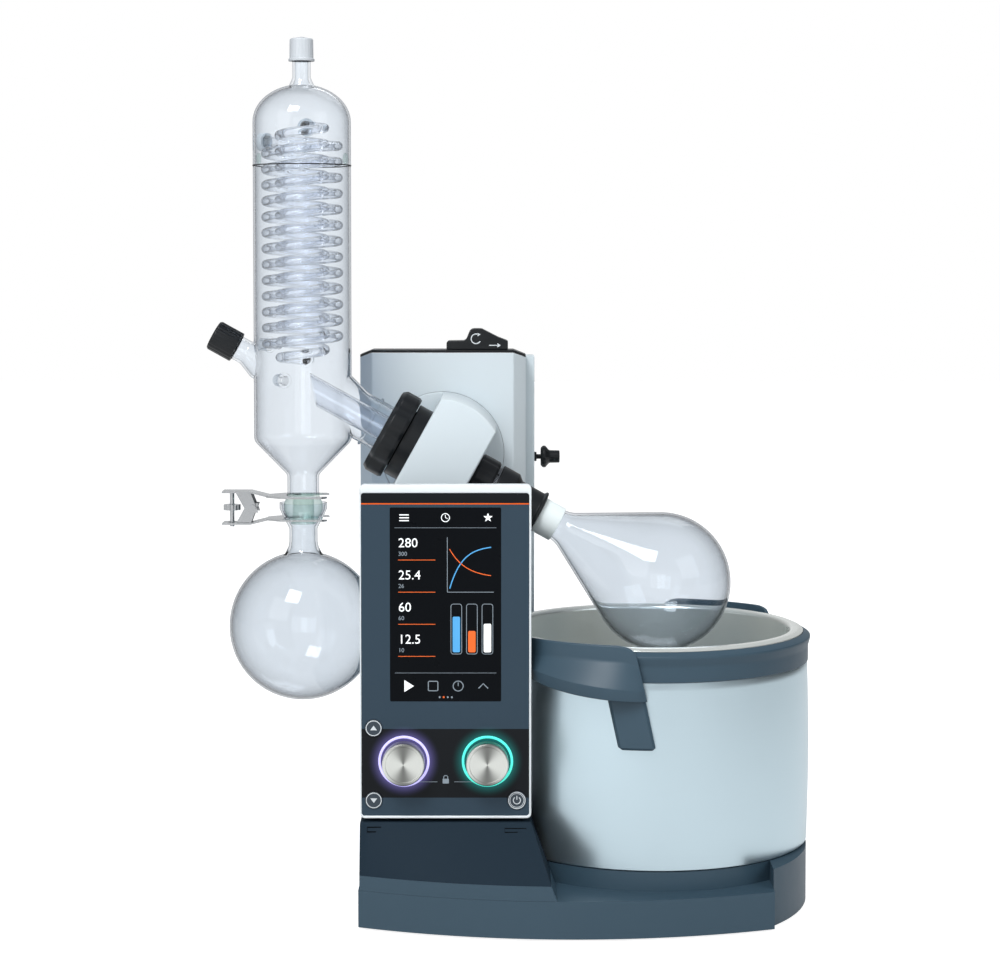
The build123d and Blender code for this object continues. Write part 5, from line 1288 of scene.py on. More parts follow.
@dataclass
class ControlPanel:
    """The upright panel: shell, frame, printed pane, display, keys and knobs."""

    left: float = -124.25
    right: float = 19.25
    low: float = 91.0
    high: float = 372.0
    front: float = -120.0
    depth: float = 12.0
    corner: float = 4.0
    rails: tuple[float, float, float, float] = (1.3, 2.4, 1.9, 7.0)
    pane_back: float = 3.6
    pane_front: float = 0.6
    knob_x: tuple[float, float] = (-87.5, -17.5)
    knob_z: float = 139.5
    knob_r: float = 17.7
    screen: tuple[float, float, float, float] = (-99.0, 190.0, -6.0, 353.0)
    screen_face: float = -0.45
    ink: float = 0.06
    keys: tuple[tuple[str, float, float, float], ...] = (
        ("up", -112.85, 167.5, 7.0), ("down", -112.85, 106.5, 7.0), ("power", 7.15, 106.5, 7.7),
    )

    def build(self) -> list[Piece]:
        """Builds and dresses the panel.

        Returns:
            Its pieces.
        """
        dress(BOARD, "control_board")
        dress(BARE_STEEL, "left_knob_shaft", "right_knob_shaft")
        pieces = [self.shell(), self.frame_piece(), self.pane(), self.display()]
        pieces += [self.knob(side, f"{node}_turn", node) for side, node in enumerate(("left_knob", "right_knob"))]
        pieces += self.rings()
        for key in self.keys:
            pieces += self.key(*key)
        return pieces + self.screen_print() + [self.pane_print()]

    def place(self, x: float = 0.0, z: float = 0.0, out: float = 0.0) -> Matrix:
        """Gives a place on the panel's front."""
        return facing(x, self.front - out, z)

    def shell(self) -> Piece:
        """Builds the tapering back shell.

        Returns:
            The piece.
        """
        plan = fillet(
            [
                (-123.25, -108.0), (18.25, -108.0, 0.8), (-21.6, -88.0, 6.0), (-21.6, -72.0, 4.0),
                (-114.25, -72.0, 4.0), (-123.25, -88.0, 5.0),
            ]
        )
        shape = Shape().slab(plan, 88.0, 364.0, edge=1.6)
        for x in self.knob_x:
            bore = Shape().lathe([(0.0, -30.0), (4.5, -30.0), (4.5, -8.0), (0.0, -8.0)], self.place(x, self.knob_z), 32)
            shape.cut(bore)
        return shape.piece("panel_shell", SLATE, "base", "panel_back_shell")

    def frame_piece(self) -> Piece:
        """Builds the light frame round the pane.

        Returns:
            The piece.
        """
        left, low, right, high = self.rails
        outer = rectangle(self.left, self.low, self.right, self.high, self.corner)
        inner = rectangle(self.left + left, self.low + low, self.right - right, self.high - high, 2.4)
        shape = Shape().slab(outer, -self.depth, 0.0, self.place(), 0.9, [inner])
        return shape.piece("panel_rim", FRAME_WHITE, "base", "panel_frame")

    def pane(self) -> Piece:
        """Builds the printed pane with its openings.

        Returns:
            The piece.
        """
        outer = rectangle(self.left + 1.0, self.low + 2.0, self.right - 1.6, self.high - 6.6, 2.4)
        holes = [circle((x, z), radius + 0.3, 48) for _, x, z, radius in self.keys]
        holes += [circle((x, self.knob_z), 5.2, 24) for x in self.knob_x]
        # Colours of the painted light that the rings throw on the pane.
        violet, turquoise = srgb(150, 140, 230), srgb(40, 170, 165)
        finish = PaneFinish(
            "printed_pane", "dark_pane", PANE_SHADE, 0.3, depth=0.0005, drift=0.015, specular=0.12,
            bands=(
                (91.0, PANE_SHADE), (107.8, BLACK_SHADE), (166.4, PANE_SHADE), (354.8, srgb(221, 90, 24)),
                (356.6, BLACK_SHADE),
            ),
            painted_halos=(
                (self.knob_x[0], self.front, self.knob_z, violet),
                (self.knob_x[1], self.front, self.knob_z, turquoise),
            ),
        )
        shape = Shape().slab(outer, -self.pane_back, -self.pane_front, self.place(), 0.0, holes)
        return shape.piece("panel_front", finish, "base", "panel_pane")

    def display(self) -> Piece:
        """Builds the lit display behind its thin rim.

        Returns:
            The piece.
        """
        left, low, right, high = self.screen
        shape = Shape().slab(rectangle(left, low, right, high, 1.2), -0.7, self.screen_face, self.place(), 0.1)
        return shape.piece("display_face", DISPLAY, "base", "display")

    def knob(self, side: int, body: str, node: str) -> Piece:
        """Builds one turned knob.

        Args:
            side: Which of the two places it takes.
            body: Body it rides on.
            node: CAD node it stands for.

        Returns:
            The piece.
        """
        radius = self.knob_r
        face = fillet(
            [
                (0.0, 15.5), (radius - 3.0, 15.5, 0.3), (radius - 2.6, 16.0, 0.2), (radius - 0.9, 16.0, 0.3),
                (radius, 15.1, 0.4), (radius, 2.6, 0.4), (radius - 0.8, 2.0), (6.0, 2.0), (6.0, 6.0), (0.0, 6.0),
            ],
            closed=False,
        )
        finish = (KNOB_LEFT, KNOB_RIGHT)[side]
        return Shape().lathe(face, self.place(self.knob_x[side], self.knob_z)).piece(f"{node}_cap", finish, body, node)

    def rings(self) -> list[Piece]:
        """Builds the two light rings.

        Returns:
            Both pieces.
        """
        profile = fillet([(19.4, -0.6), (21.5, -0.6), (21.5, 0.4, 0.35), (19.4, 0.4, 0.35)])
        made = []
        for x, finish, name in (
            (self.knob_x[0], RING_VIOLET, "left_light_ring"), (self.knob_x[1], RING_TURQUOISE, "right_light_ring"),
        ):
            shape = Shape().lathe(profile, self.place(x, self.knob_z), looped=True)
            made.append(shape.piece(name, finish, "base", "light_rings"))
        return made

    def key(self, name: str, x: float, z: float, radius: float) -> list[Piece]:
        """Builds one key and its sign.

        Args:
            name: Which key.
            x: Middle of the key along the row.
            z: Middle of the key in height.
            radius: Radius of the key.

        Returns:
            Its pieces.
        """
        place = self.place(x, z)
        disc = fillet([(0.0, 0.32), (radius - 1.4, 0.4, 0.5), (radius, 0.4, 0.3), (radius, -3.4), (0.0, -3.4)], False)
        pieces = [Shape().lathe(disc, place, 48).piece(f"{name}_key_face", KEY_FACE, f"{name}_key", f"{name}_button")]
        sign = Shape()
        sign.ribbon(circle((0.0, 0.0), radius - 0.75, 48), 0.7, 0.38, 0.5, place, True)
        if name == "power":
            sign.ribbon(circle((0.0, 0.0), radius - 1.9, 48), 0.4, 0.3, 0.45, place, True)
            sign.ribbon(arc((0.0, 0.0), 3.0, 125.0, 415.0, 24), 0.75, 0.3, 0.45, place)
            sign.ribbon([(0.0, 0.6), (0.0, 3.8)], 0.75, 0.3, 0.45, place)
        else:
            way = 1.0 if name == "up" else -1.0
            sign.slab([(-2.9, -1.7 * way), (0.0, 2.2 * way), (2.9, -1.7 * way)], 0.3, 0.45, place, 0.0)
        pieces.append(sign.piece(f"{name}_key_sign", KEY_PRINT, f"{name}_key"))
        return pieces

    def pane_print(self) -> Piece:
        """Prints the fine lines and the lock sign between the knobs.

        Returns:
            The piece.
        """
        place = self.place(-52.5, 124.0, -self.pane_front)
        shape = Shape()
        for way in (-1.0, 1.0):
            shape.ribbon([(way * 7.0, -2.0), (way * 46.0, -2.0)], 0.35, 0.0, self.ink, place)
        shape.slab(rectangle(-2.6, -3.4, 2.6, 0.6, 0.5), 0.0, self.ink, place, 0.0)
        bow = [(-1.7, 0.6), (-1.7, 2.2), (-0.9, 3.3), (0.9, 3.3), (1.7, 2.2), (1.7, 0.6)]
        shape.ribbon(bow, 0.7, 0.0, self.ink, place)
        return shape.piece("pane_signs", PRINT_GREY, "base")

    def screen_print(self) -> list[Piece]:
        """Draws a plain screen page of its own layout.

        Returns:
            Its pieces, one for each colour.
        """
        left, low, right, _ = self.screen
        place = self.place(left, low, self.screen_face)
        wide, thick = right - left, self.ink
        white, grey, orange, blue = Shape(), Shape(), Shape(), Shape()
        grey.ribbon([(4.0, 146.0), (wide - 4.0, 146.0)], 0.3, 0.0, thick, place)
        grey.ribbon([(4.0, 24.0), (wide - 4.0, 24.0)], 0.3, 0.0, thick, place)
        for index in range(3):
            white.ribbon([(8.0, 152.0 + 2.4 * index), (16.0, 152.0 + 2.4 * index)], 0.9, 0.0, thick, place)
        white.ribbon(circle((46.5, 154.5), 3.4, 32), 0.6, 0.0, thick, place, True)
        white.ribbon([(46.5, 156.8), (46.5, 154.5), (48.4, 153.6)], 0.5, 0.0, thick, place)
        white.slab([(82.0 + x, 154.5 + y) for x, y in self.star(4.0)], 0.0, thick, place, 0.0)
        rows = (("280", "300", 133.0), ("25.4", "26", 106.0), ("60", "60", 79.0), ("12.5", "10", 52.0))
        for number, aim, level in rows:
            white.text(number, 11.0, place @ Matrix.Translation((7.0, level, 0.0)), thick, "LEFT")
            grey.text(aim, 5.0, place @ Matrix.Translation((7.0, level - 9.0, 0.0)), thick, "LEFT")
            orange.ribbon([(7.0, level - 14.0), (38.0, level - 14.0)], 0.5, 0.0, thick, place)
        self.graph(place, thick, white, grey, orange, blue)
        white.slab([(12.0, 8.0), (12.0, 18.0), (20.0, 13.0)], 0.0, thick, place, 0.0)
        grey.ribbon(rectangle(32.0, 9.0, 40.0, 17.0, 1.0), 0.7, 0.0, thick, place, True)
        grey.ribbon(circle((57.0, 13.0), 4.2, 32), 0.7, 0.0, thick, place, True)
        grey.ribbon([(57.0, 13.0), (57.0, 16.0)], 0.6, 0.0, thick, place)
        grey.ribbon([(74.0, 11.0), (78.0, 15.0), (82.0, 11.0)], 0.8, 0.0, thick, place)
        for index in range(4):
            dot = circle((41.5 + 3.4 * index, 3.6), 0.8, 16)
            (orange if index == 1 else grey).slab(dot, 0.0, thick, place, 0.0)
        inks = (
            ("white", white, PRINT_WHITE), ("grey", grey, PRINT_GREY), ("orange", orange, PRINT_ORANGE),
            ("blue", blue, PRINT_BLUE),
        )
        return [shape.piece(f"screen_{name}", finish, "base") for name, shape, finish in inks]

    @staticmethod
    def star(radius: float) -> list[Point2]:
        """Gives a five-pointed star about the origin."""
        reach = [radius if index % 2 == 0 else radius * 0.42 for index in range(10)]
        turns = [math.radians(90.0 + 36.0 * index) for index in range(10)]
        return [(size * math.cos(turn), size * math.sin(turn)) for size, turn in zip(reach, turns)]

    def graph(self, place: Matrix, thick: float, white: Shape, grey: Shape, orange: Shape, blue: Shape) -> None:
        """Draws a plain chart and a level gauge.

        Args:
            place: Corner of the display.
            thick: Thickness of the print.
            white: White strokes.
            grey: Grey strokes.
            orange: Orange strokes.
            blue: Blue strokes.
        """
        grey.ribbon([(48.0, 92.0), (48.0, 138.0)], 0.5, 0.0, thick, place)
        grey.ribbon([(48.0, 92.0), (87.0, 92.0)], 0.5, 0.0, thick, place)
        curve = [(50.0 + 1.5 * index, 95.0 + 36.0 * (1.0 - math.exp(-index / 7.0))) for index in range(24)]
        blue.ribbon(curve, 0.9, 0.0, thick, place)
        dips = [(50.0 + 1.5 * index, 128.0 - 24.0 * (1.0 - math.exp(-index / 9.0))) for index in range(24)]
        orange.ribbon(dips, 0.7, 0.0, thick, place)
        for index in range(3):
            foot = 51.0 + 13.0 * index
            grey.ribbon(rectangle(foot, 40.0, foot + 9.0, 82.0, 2.0), 0.5, 0.0, thick, place, True)
            fill = (30.0, 18.0, 24.0)[index]
            tint = (blue, orange, white)[index]
            tint.slab(rectangle(foot + 1.4, 41.4, foot + 7.6, 41.4 + fill, 1.2), 0.0, thick, place, 0.0)


@dataclass
class LiftTower:
    """The tower that goes up and down with the drive, its cap and its controls."""

    middle: float = -59.5
    half: float = 76.2
    flat: float = 64.8
    front: float = 77.0
    chamfer: float = 92.5
    split: float = 118.0
    back: float = 163.0
    right: float = 25.1
    low: float = 115.0
    high: float = 474.5
    side_drop: float = 4.6
    cap: float = 2.6
    wall: float = 3.0
    opening: float = 56.4
    slider_low: float = 477.3
    slider_front: float = 80.4
    stop: Point2 = (140.0, 374.4)

    def build(self) -> list[Piece]:
        """Builds and dresses the tower.

        Returns:
            Its pieces.
        """
        dress(BARE_STEEL, "lift_carriage", "tilt_ring")
        dress(SEAL, "guide_pads")
        return [
            self.shell(), self.cap_piece(), self.back_cover(), self.back_screws(), *self.slider(), self.stop_knob()
        ]

    def plan(self, inward: float = 0.0) -> list[Point2]:
        """Gives the shell's plan, moved inward by a wall."""
        left, right = self.middle - self.half + inward, self.middle + self.half - inward
        near, far = self.middle - self.flat + 0.6 * inward, self.middle + self.flat - 0.6 * inward
        return fillet(
            [
                (near, self.front + inward, 2.5), (far, self.front + inward, 2.5), (right, self.chamfer + inward, 2.0),
                (right, self.split), (left, self.split), (left, self.chamfer + inward, 2.0),
            ]
        )

    def top(self, x: float) -> float:
        """Gives the shell's top height at a place along the row."""
        beyond = max(abs(x - self.middle) - self.flat, 0.0)
        return self.high - self.side_drop * beyond / (self.half - self.flat)

    def shell(self) -> Piece:
        """Builds the hollow shell with its round opening.

        Returns:
            The piece.
        """
        outer = self.plan()
        inner = [(x, y + (0.0 if y < self.split - 1.0 else 4.0)) for x, y in self.plan(self.wall)]
        body = Shape().loft(
            [[Vector((x, y, self.low)) for x, y in outer], [Vector((x, y, self.top(x))) for x, y in outer]]
        )
        room = Shape().loft(
            [[Vector((x, y, level)) for x, y in inner] for level in (self.low - 5.0, self.high - self.side_drop - 2.0)]
        )
        hole = Shape().lathe(
            [(0.0, -40.0), (self.opening, -40.0), (self.opening, 40.0), (0.0, 40.0)],
            facing(PIVOT.x, self.front, PIVOT.z), 128,
        )
        body.cut(room, hole)
        return body.piece("tower_front", LIGHT, "lift", "tower_shell", smooth=20.0)

    def cap_piece(self) -> Piece:
        """Builds the thin black cap.

        Returns:
            The piece.
        """
        near, far = self.middle - self.flat, self.middle + self.flat
        left, right = self.middle - self.half, self.middle + self.half
        shape = Shape()
        plan = [(near, self.front), (far, self.front), (right, self.chamfer), (right, self.split), (far, self.split),
                (near, self.split), (left, self.split), (left, self.chamfer)]
        rings = [
            [shape.point(ROW, x, y, self.top(x) + lift) for x, y in plan] for lift in (0.15, self.cap)
        ]
        shape.bridge(rings[0], rings[1])
        for ring in rings:
            shape.mesh.faces.new([ring[index] for index in (0, 1, 4, 5)])
            shape.mesh.faces.new([ring[index] for index in (1, 2, 3, 4)])
            shape.mesh.faces.new([ring[index] for index in (5, 6, 7, 0)])
        shape.bevel(0.5, 2, 40.0)
        return shape.piece("tower_top", BLACK, "lift", "tower_cap")

    def back_cover(self) -> Piece:
        """Builds the back cover, open towards the shell and below.

        Returns:
            The piece.
        """
        left, high = self.middle - self.half, self.high - self.side_drop
        front = self.split + 0.15
        plan = fillet([(left, front), (self.right, front, 1.0), (self.right, self.back, 6.0), (left, self.back, 6.0)])
        body = Shape().slab(plan, self.low, high, edge=0.6)
        gap = self.wall
        inner = rectangle(left + gap, front - 5.0, self.middle + self.half - gap, self.back - gap, 3.0)
        room = Shape().slab(inner, self.low - 5.0, high - gap, edge=0.0)
        return body.cut(room).piece("tower_rear", LIGHT_SIDE, "lift", "tower_back", smooth=24.0)

    def back_screws(self) -> Piece:
        """Sets the back cover's screws.

        Returns:
            The piece.
        """
        spots = [
            (Vector((x, self.back, z)), TO_BACK)
            for x in (self.middle - 62.0, self.middle + 70.0) for z in (130.0, 295.0, 455.0)
        ]
        return Repeater.copies(cross_screw(3.2), spots, BARE_STEEL, 1.5).piece("tower_screws", BARE_STEEL, "lift")

    def slider(self) -> list[Piece]:
        """Builds the release slider and its signs.

        Returns:
            Its pieces.
        """
        low, front = self.slider_low, self.slider_front
        side = fillet(
            [
                (-56.0, low, 0.8), (0.3, low, 0.8), (0.3, low + 8.0, 2.0), (-9.0, low + 11.6, 4.0),
                (-24.0, low + 19.3, 6.0), (-34.0, low + 19.3, 5.0), (-38.5, low + 8.3, 4.0), (-56.0, low + 8.0, 2.5),
            ],
            steps=6,
        )
        body = Shape().slab(side, -22.0, 0.0, facing(0.0, front, 0.0), 0.7)
        sign = Shape()
        spot = facing(-29.0, front, low + 10.0)
        sign.ribbon(arc((0.0, 0.0), 4.4, 60.0, 330.0, 28), 0.9, 0.0, 0.08, spot)
        sign.slab([(1.4, 5.4), (4.2, 4.0), (1.6, 2.2)], 0.0, 0.08, spot, 0.0)
        arrow = facing(-12.0, front, low + 4.0)
        sign.ribbon([(-5.0, 0.0), (3.0, 0.0)], 0.8, 0.0, 0.08, arrow)
        sign.slab([(2.6, -2.0), (5.6, 0.0), (2.6, 2.0)], 0.0, 0.08, arrow, 0.0)
        return [
            body.piece("tilt_slider", BLACK, "tilt_release", "release_slider"),
            sign.piece("tilt_slider_signs", KEY_PRINT, "tilt_release"),
        ]

    def stop_knob(self) -> Piece:
        """Builds the knob on the tower's right side.

        Returns:
            The piece.
        """
        y, z = self.stop
        place = Matrix(((0.0, 0.0, 1.0, self.right), (1.0, 0.0, 0.0, y), (0.0, 1.0, 0.0, z), (0.0, 0.0, 0.0, 1.0)))
        profile = fillet(
            [
                (0.0, 0.2), (2.2, 0.2), (4.4, 0.3, 0.2), (4.4, 2.3, 0.4), (2.2, 2.4), (2.2, 6.2), (8.1, 6.2, 0.8),
                (10.1, 8.2, 0.8), (10.1, 10.6, 1.2), (5.9, 14.2, 2.6), (5.7, 24.0, 1.0), (0.0, 24.2),
            ],
            closed=False,
        )
        return Shape().lathe(profile, place, 72, wave=knurled).piece("stop_grip", BLACK, "depth_stop", "stop_knob")


@dataclass
class DriveHead:
    """The tilting head with its nuts and the hidden drive."""

    radius: float = 56.0
    low: float = -26.0
    high: float = 30.0
    front: float = 36.0
    seat: float = -76.6
    turned: tuple[Turned, ...] = (
        Turned(
            "union_grip", BLACK, "union", ("union_nut",), DRIVE,
            (
                (27.6, -39.4), (38.8, -39.4, 1.2), (40.0, -42.0, 1.0), (40.0, -54.0, 1.2), (37.0, -58.0, 1.4),
                (25.4, -58.0, 0.4), (25.4, -52.6), (27.6, -52.6),
            ),
            160, lobed,
        ),
        Turned(
            "drive_nose", BLACK, "rotor", (), DRIVE,
            ((12.2, 30.4), (20.0, 30.4, 0.4), (20.0, 52.0, 0.4), (12.2, 52.0)),
        ),
        Turned(
            "push_off_grip", BLACK, "push_off", ("push_off_nut",), DRIVE,
            ((20.5, 31.0), (22.4, 31.0, 0.6), (24.0, 33.0, 0.6), (24.0, 47.4, 0.6), (22.6, 49.4, 0.6), (20.5, 49.4)),
            144, ribbed(12.0, 0.022, 3),
        ),
        Turned(
            "flask_clasp", BLACK, "rotor", ("flask_clip",), DRIVE,
            (
                (14.6, 52.15), (23.0, 52.15, 1.0), (23.0, 68.0, 1.5), (18.5, 73.0, 1.5), (18.5, 95.0, 0.8),
                (20.6, 96.6, 0.5), (20.6, 98.4, 0.4), (17.0, 99.0), (14.6, 99.0),
            ),
        ),
        Turned(
            "neck_sleeve", SLEEVE, "rotor", ("flask_sleeve",), DRIVE,
            ((14.5, 99.15), (16.0, 99.15, 0.4), (16.0, 118.0, 0.5), (14.5, 118.0)),
        ),
    )

    def build(self) -> list[Piece]:
        """Builds and dresses the head.

        Returns:
            Its pieces.
        """
        dress(BARE_STEEL, "drive_motor", "bearings", "hollow_shaft", "motor_pulley")
        dress(RUBBER, "drive_belt")
        dress(SEAL, "vacuum_seal")
        pieces = [self.block(), self.disc(), self.tick(), self.thread()]
        return pieces + [part.build() for part in self.turned]

    def face(self, out: float) -> Matrix:
        """Gives a place on the head's front: local X along the drive, local Y up and square to it."""
        along = Vector((math.cos(DROP), 0.0, -math.sin(DROP)))
        across = Vector((math.sin(DROP), 0.0, math.cos(DROP)))
        return Matrix(
            (
                (along.x, across.x, 0.0, PIVOT.x),
                (0.0, 0.0, -1.0, -out),
                (along.z, across.z, 0.0, PIVOT.z),
                (0.0, 0.0, 0.0, 1.0),
            )
        )

    def block(self) -> Piece:
        """Builds the rounded block in front.

        Returns:
            The piece.
        """
        lower = math.degrees(math.acos(self.low / self.radius))
        upper = math.degrees(math.acos(self.high / self.radius))
        outline = arc((0.0, 0.0), self.radius, upper, lower, 40) + arc((0.0, 0.0), self.radius, -lower, -upper, 40)
        shape = Shape().slab(outline, self.seat + 3.0, self.front, self.face(0.0), 2.0)
        return shape.piece("head_block", LIGHT, "head", "head_housing", smooth=24.0)

    def disc(self) -> Piece:
        """Builds the round disc that turns in the tower's opening.

        Returns:
            The piece.
        """
        profile = fillet(
            [(0.0, self.seat), (self.radius, self.seat, 0.7), (self.radius, self.seat - 3.0), (0.0, self.seat - 3.0)],
            closed=False,
        )
        return Shape().lathe(profile, self.face(0.0), 128).piece("head_disc", LIGHT, "head", "head_housing")

    def tick(self) -> Piece:
        """Sets the tilt mark on the disc's rim.

        Returns:
            The piece.
        """
        place = facing(PIVOT.x, -self.seat, PIVOT.z)
        turn = 30.0
        way = Vector((math.cos(math.radians(turn)), math.sin(math.radians(turn))))
        shape = Shape().ribbon([tuple(way * 48.0), tuple(way * 54.0)], 0.9, 0.0, 0.08, place)
        return shape.piece("tilt_mark", BLACK_SOFT, "head")

    def thread(self) -> Piece:
        """Builds the threaded ring behind the union nut.

        Returns:
            The piece.
        """
        crest, root = 27.0, 25.8
        profile = [
            (12.4, -26.5), (20.6, -26.5), (21.0, -26.0), (34.0, -26.0), (34.0, -38.2), (33.2, -39.0), (crest, -39.0),
        ]
        for index in range(4):
            level = -40.0 - 2.2 * index
            profile += [(root, level), (root, level - 0.7), (crest, level - 1.2), (crest, level - 1.6)]
        profile += [(crest - 0.8, -49.0), (12.4, -49.0)]
        shape = Shape().lathe(profile, DRIVE, looped=True)
        return shape.piece("head_thread", BLACK, "head", "thread_ring", smooth=25.0)


@dataclass
class Glassware:
    """The blown glass: condenser with its two wound coils, vapour duct and both flasks."""

    wall: float = 2.2
    shell_r: float = 43.0
    shell_low: float = 400.0
    shell_high: float = 680.0
    dome: float = 33.0
    neck_r: float = 8.0
    coil_mid: float = 574.0
    pitch: float = 13.9
    tube_r: float = 4.0
    coils: tuple[tuple[str, float, float, float], ...] = (
        ("outer_coil", 32.0, 13.0, 137.0), ("inner_coil", 20.0, 15.0, 90.0),
    )
    port_r: float = 5.5
    port_reach: float = 14.0
    collar_r: float = 7.2
    ports: tuple[tuple[float, float], ...] = (
        (483.65, 137.0), (664.35, 137.0), (469.75, 90.0), (678.25, 90.0), (451.0, 118.0),
    )
    joint: Turned = Turned(
        "ground_joint", FROSTED, "head", (), CONDENSER,
        (
            (9.0, 326.5), (10.6, 326.5), (17.0, 338.0, 6.0), (17.0, 344.6, 3.0), (14.4, 350.1, 2.0), (14.2, 352.4),
            (9.0, 352.4),
        ),
    )

    def build(self) -> list[Piece]:
        """Builds and dresses the glass.

        Returns:
            Its pieces.
        """
        pieces = [self.condenser(), *(self.coil(*coil) for coil in self.coils), self.duct(), self.evaporating()]
        return pieces + [self.receiving(), self.joint.build(), self.line(), self.stays()]

    def line(self) -> Piece:
        """Draws the dark line round the condenser.

        Returns:
            The piece.
        """
        edge = self.shell_r + 0.03
        band = [(edge, 641.5), (edge + 0.3, 641.7), (edge + 0.3, 642.3), (edge, 642.5)]
        return Shape().lathe(band, CONDENSER, 128, True).piece("shell_line", BLACK_SOFT, "head")

    def stays(self) -> Piece:
        """Builds the drops of glass that stay the outer coil.

        Returns:
            The piece.
        """
        drop = [(2.4 * math.sin(turn), -5.0 * math.cos(turn)) for turn in [math.pi * index / 10 for index in range(11)]]
        shape = Shape()
        for side in (-1.0, 1.0):
            shape.lathe(drop, CONDENSER @ Matrix.Translation((side * 38.2, 0.0, 648.0)), 20)
        return shape.piece("coil_stays", FROSTED, "head")

    def body(self, inward: float) -> list[Point2]:
        """Gives the condenser's turned profile, moved inward by a wall."""
        radius = self.shell_r - inward
        crown = self.shell_high
        dome = [
            (radius * math.cos(turn), crown + (self.dome - inward) * math.sin(turn))
            for turn in [math.radians(5.0 * index) for index in range(16)]
        ]
        neck = self.neck_r - inward
        end = 751.5 if inward == 0.0 else 756.0
        drain = 14.0 - inward
        foot = 352.0 if inward == 0.0 else 330.0
        low, corner = 370.0 + 0.4 * inward, self.shell_low + 0.4 * inward
        bowl = fillet([(0.0, foot), (drain, foot), (drain, low, 6.0), (radius, corner, 9.0), (radius, 440.0)], False, 8)
        side = [(radius, 440.0 + (crown - 440.0) * index / 10) for index in range(1, 10)]
        rise = [(neck + 1.6, 715.0 - inward), (neck, 719.0 - inward), (neck, end), (0.0, end)]
        return bowl + side + dome + rise

    def condenser(self) -> Piece:
        """Blows the condenser: turned body, vapour arm, side port and hose ports, all hollow.

        Returns:
            The piece.
        """
        skins = []
        for inward in (0.0, self.wall):
            spare = 0.0 if inward == 0.0 else 6.2
            body = Shape().lathe(self.body(inward), CONDENSER, 128)
            wide, slim = 33.0 - inward, 21.0 - inward
            arm = [
                (0.0, -138.0), (wide, -138.0), (wide, -125.0, 14.0), (slim, -84.0, 20.0), (slim, -53.0 + spare),
                (0.0, -53.0 + spare),
            ]
            wide, slim = 17.0 - inward, 11.0 - inward
            side = [
                (0.0, -150.0), (wide, -150.0), (wide, -181.8, 6.0), (slim, -195.8, 6.0), (slim, -225.85 - spare),
                (0.0, -225.85 - spare),
            ]
            parts = [
                Shape().lathe(fillet(corners, False, 8), DRIVE, sides) for corners, sides in ((arm, 96), (side, 64))
            ]
            root, step = self.shell_r - 5.0, self.shell_r + 1.5
            for height, turn in self.ports:
                reach = self.shell_r + self.port_reach + spare
                radius = self.port_r - 0.8 * inward
                tip = [(0.0, root), (radius, root), (radius, reach), (0.0, reach)]
                if inward == 0.0:
                    collar = fillet([(self.collar_r, root), (self.collar_r, step, 0.6), (radius, step)], False)
                    tip = tip[:1] + collar + tip[2:]
                parts.append(Shape().lathe(tip, self.port_place(height, turn), 40 if spare else 32))
            skins.append(body.cut(*parts, operation="UNION"))
        bead = Shape().lathe(
            fillet([(20.1, -71.5), (23.0, -71.5, 1.0), (23.0, -69.1, 1.0), (20.1, -69.1)]), DRIVE, looped=True
        )
        rim = Shape().lathe(
            fillet([(17.2, -56.0), (21.0, -56.0), (25.0, -52.15, 0.8), (25.0, -49.15, 0.8), (17.2, -49.15)]),
            DRIVE, looped=True,
        )
        skins[0].cut(bead, rim, operation="UNION").cut(skins[1])
        return skins[0].piece("condenser_glass", CLEAR, "head", "condenser", smooth=40.0)

    @staticmethod
    def port_place(height: float, turn: float) -> Matrix:
        """Gives the place of a hose port, its local Z pointing outwards."""
        return (
            CONDENSER
            @ Matrix.Translation((0.0, 0.0, height))
            @ Matrix.Rotation(math.radians(turn), 4, "Z")
            @ Matrix.Rotation(math.radians(90.0), 4, "Y")
        )

    def coil(self, node: str, radius: float, turns: float, leg: float) -> Piece:
        """Winds one coil, with legs that run out to its ports.

        Args:
            node: CAD node it stands for.
            radius: Radius of the winding.
            turns: Number of turns.
            leg: Angle of both legs in degrees.

        Returns:
            The piece.
        """
        low = self.coil_mid - self.pitch * turns / 2.0
        steps = int(turns * 40)
        path = []
        start = math.radians(leg)
        outside = self.shell_r - 0.6
        for reach in (outside, (outside + radius) / 2.0):
            path.append(Vector((reach * math.cos(start), reach * math.sin(start), low)))
        for index in range(steps + 1):
            turn = start + math.tau * turns * index / steps
            height = low + self.pitch * turns * index / steps
            path.append(Vector((radius * math.cos(turn), radius * math.sin(turn), height)))
        high = low + self.pitch * turns
        for reach in ((outside + radius) / 2.0, outside):
            path.append(Vector((reach * math.cos(start), reach * math.sin(start), high)))
        path = [CONDENSER @ spot for spot in path]
        tube = Repeater.tube(path, self.tube_r, 14, COIL_GLASS, False)
        bore = Repeater.tube(path, self.tube_r - 1.1, 14, COIL_GLASS, False)
        inner = bore.as_mesh("bore")
        tube.mesh.from_mesh(inner)
        bpy.data.meshes.remove(inner)
        rims = [edge for edge in tube.mesh.edges if edge.is_boundary]
        ends = ([], [])
        for edge in rims:
            ends[0 if edge.verts[0].co.z < self.coil_mid else 1].append(edge)
        for end in ends:
            bmesh.ops.bridge_loops(tube.mesh, edges=end)
        return tube.piece(f"{node}_glass", COIL_GLASS, "head", node, smooth=60.0)

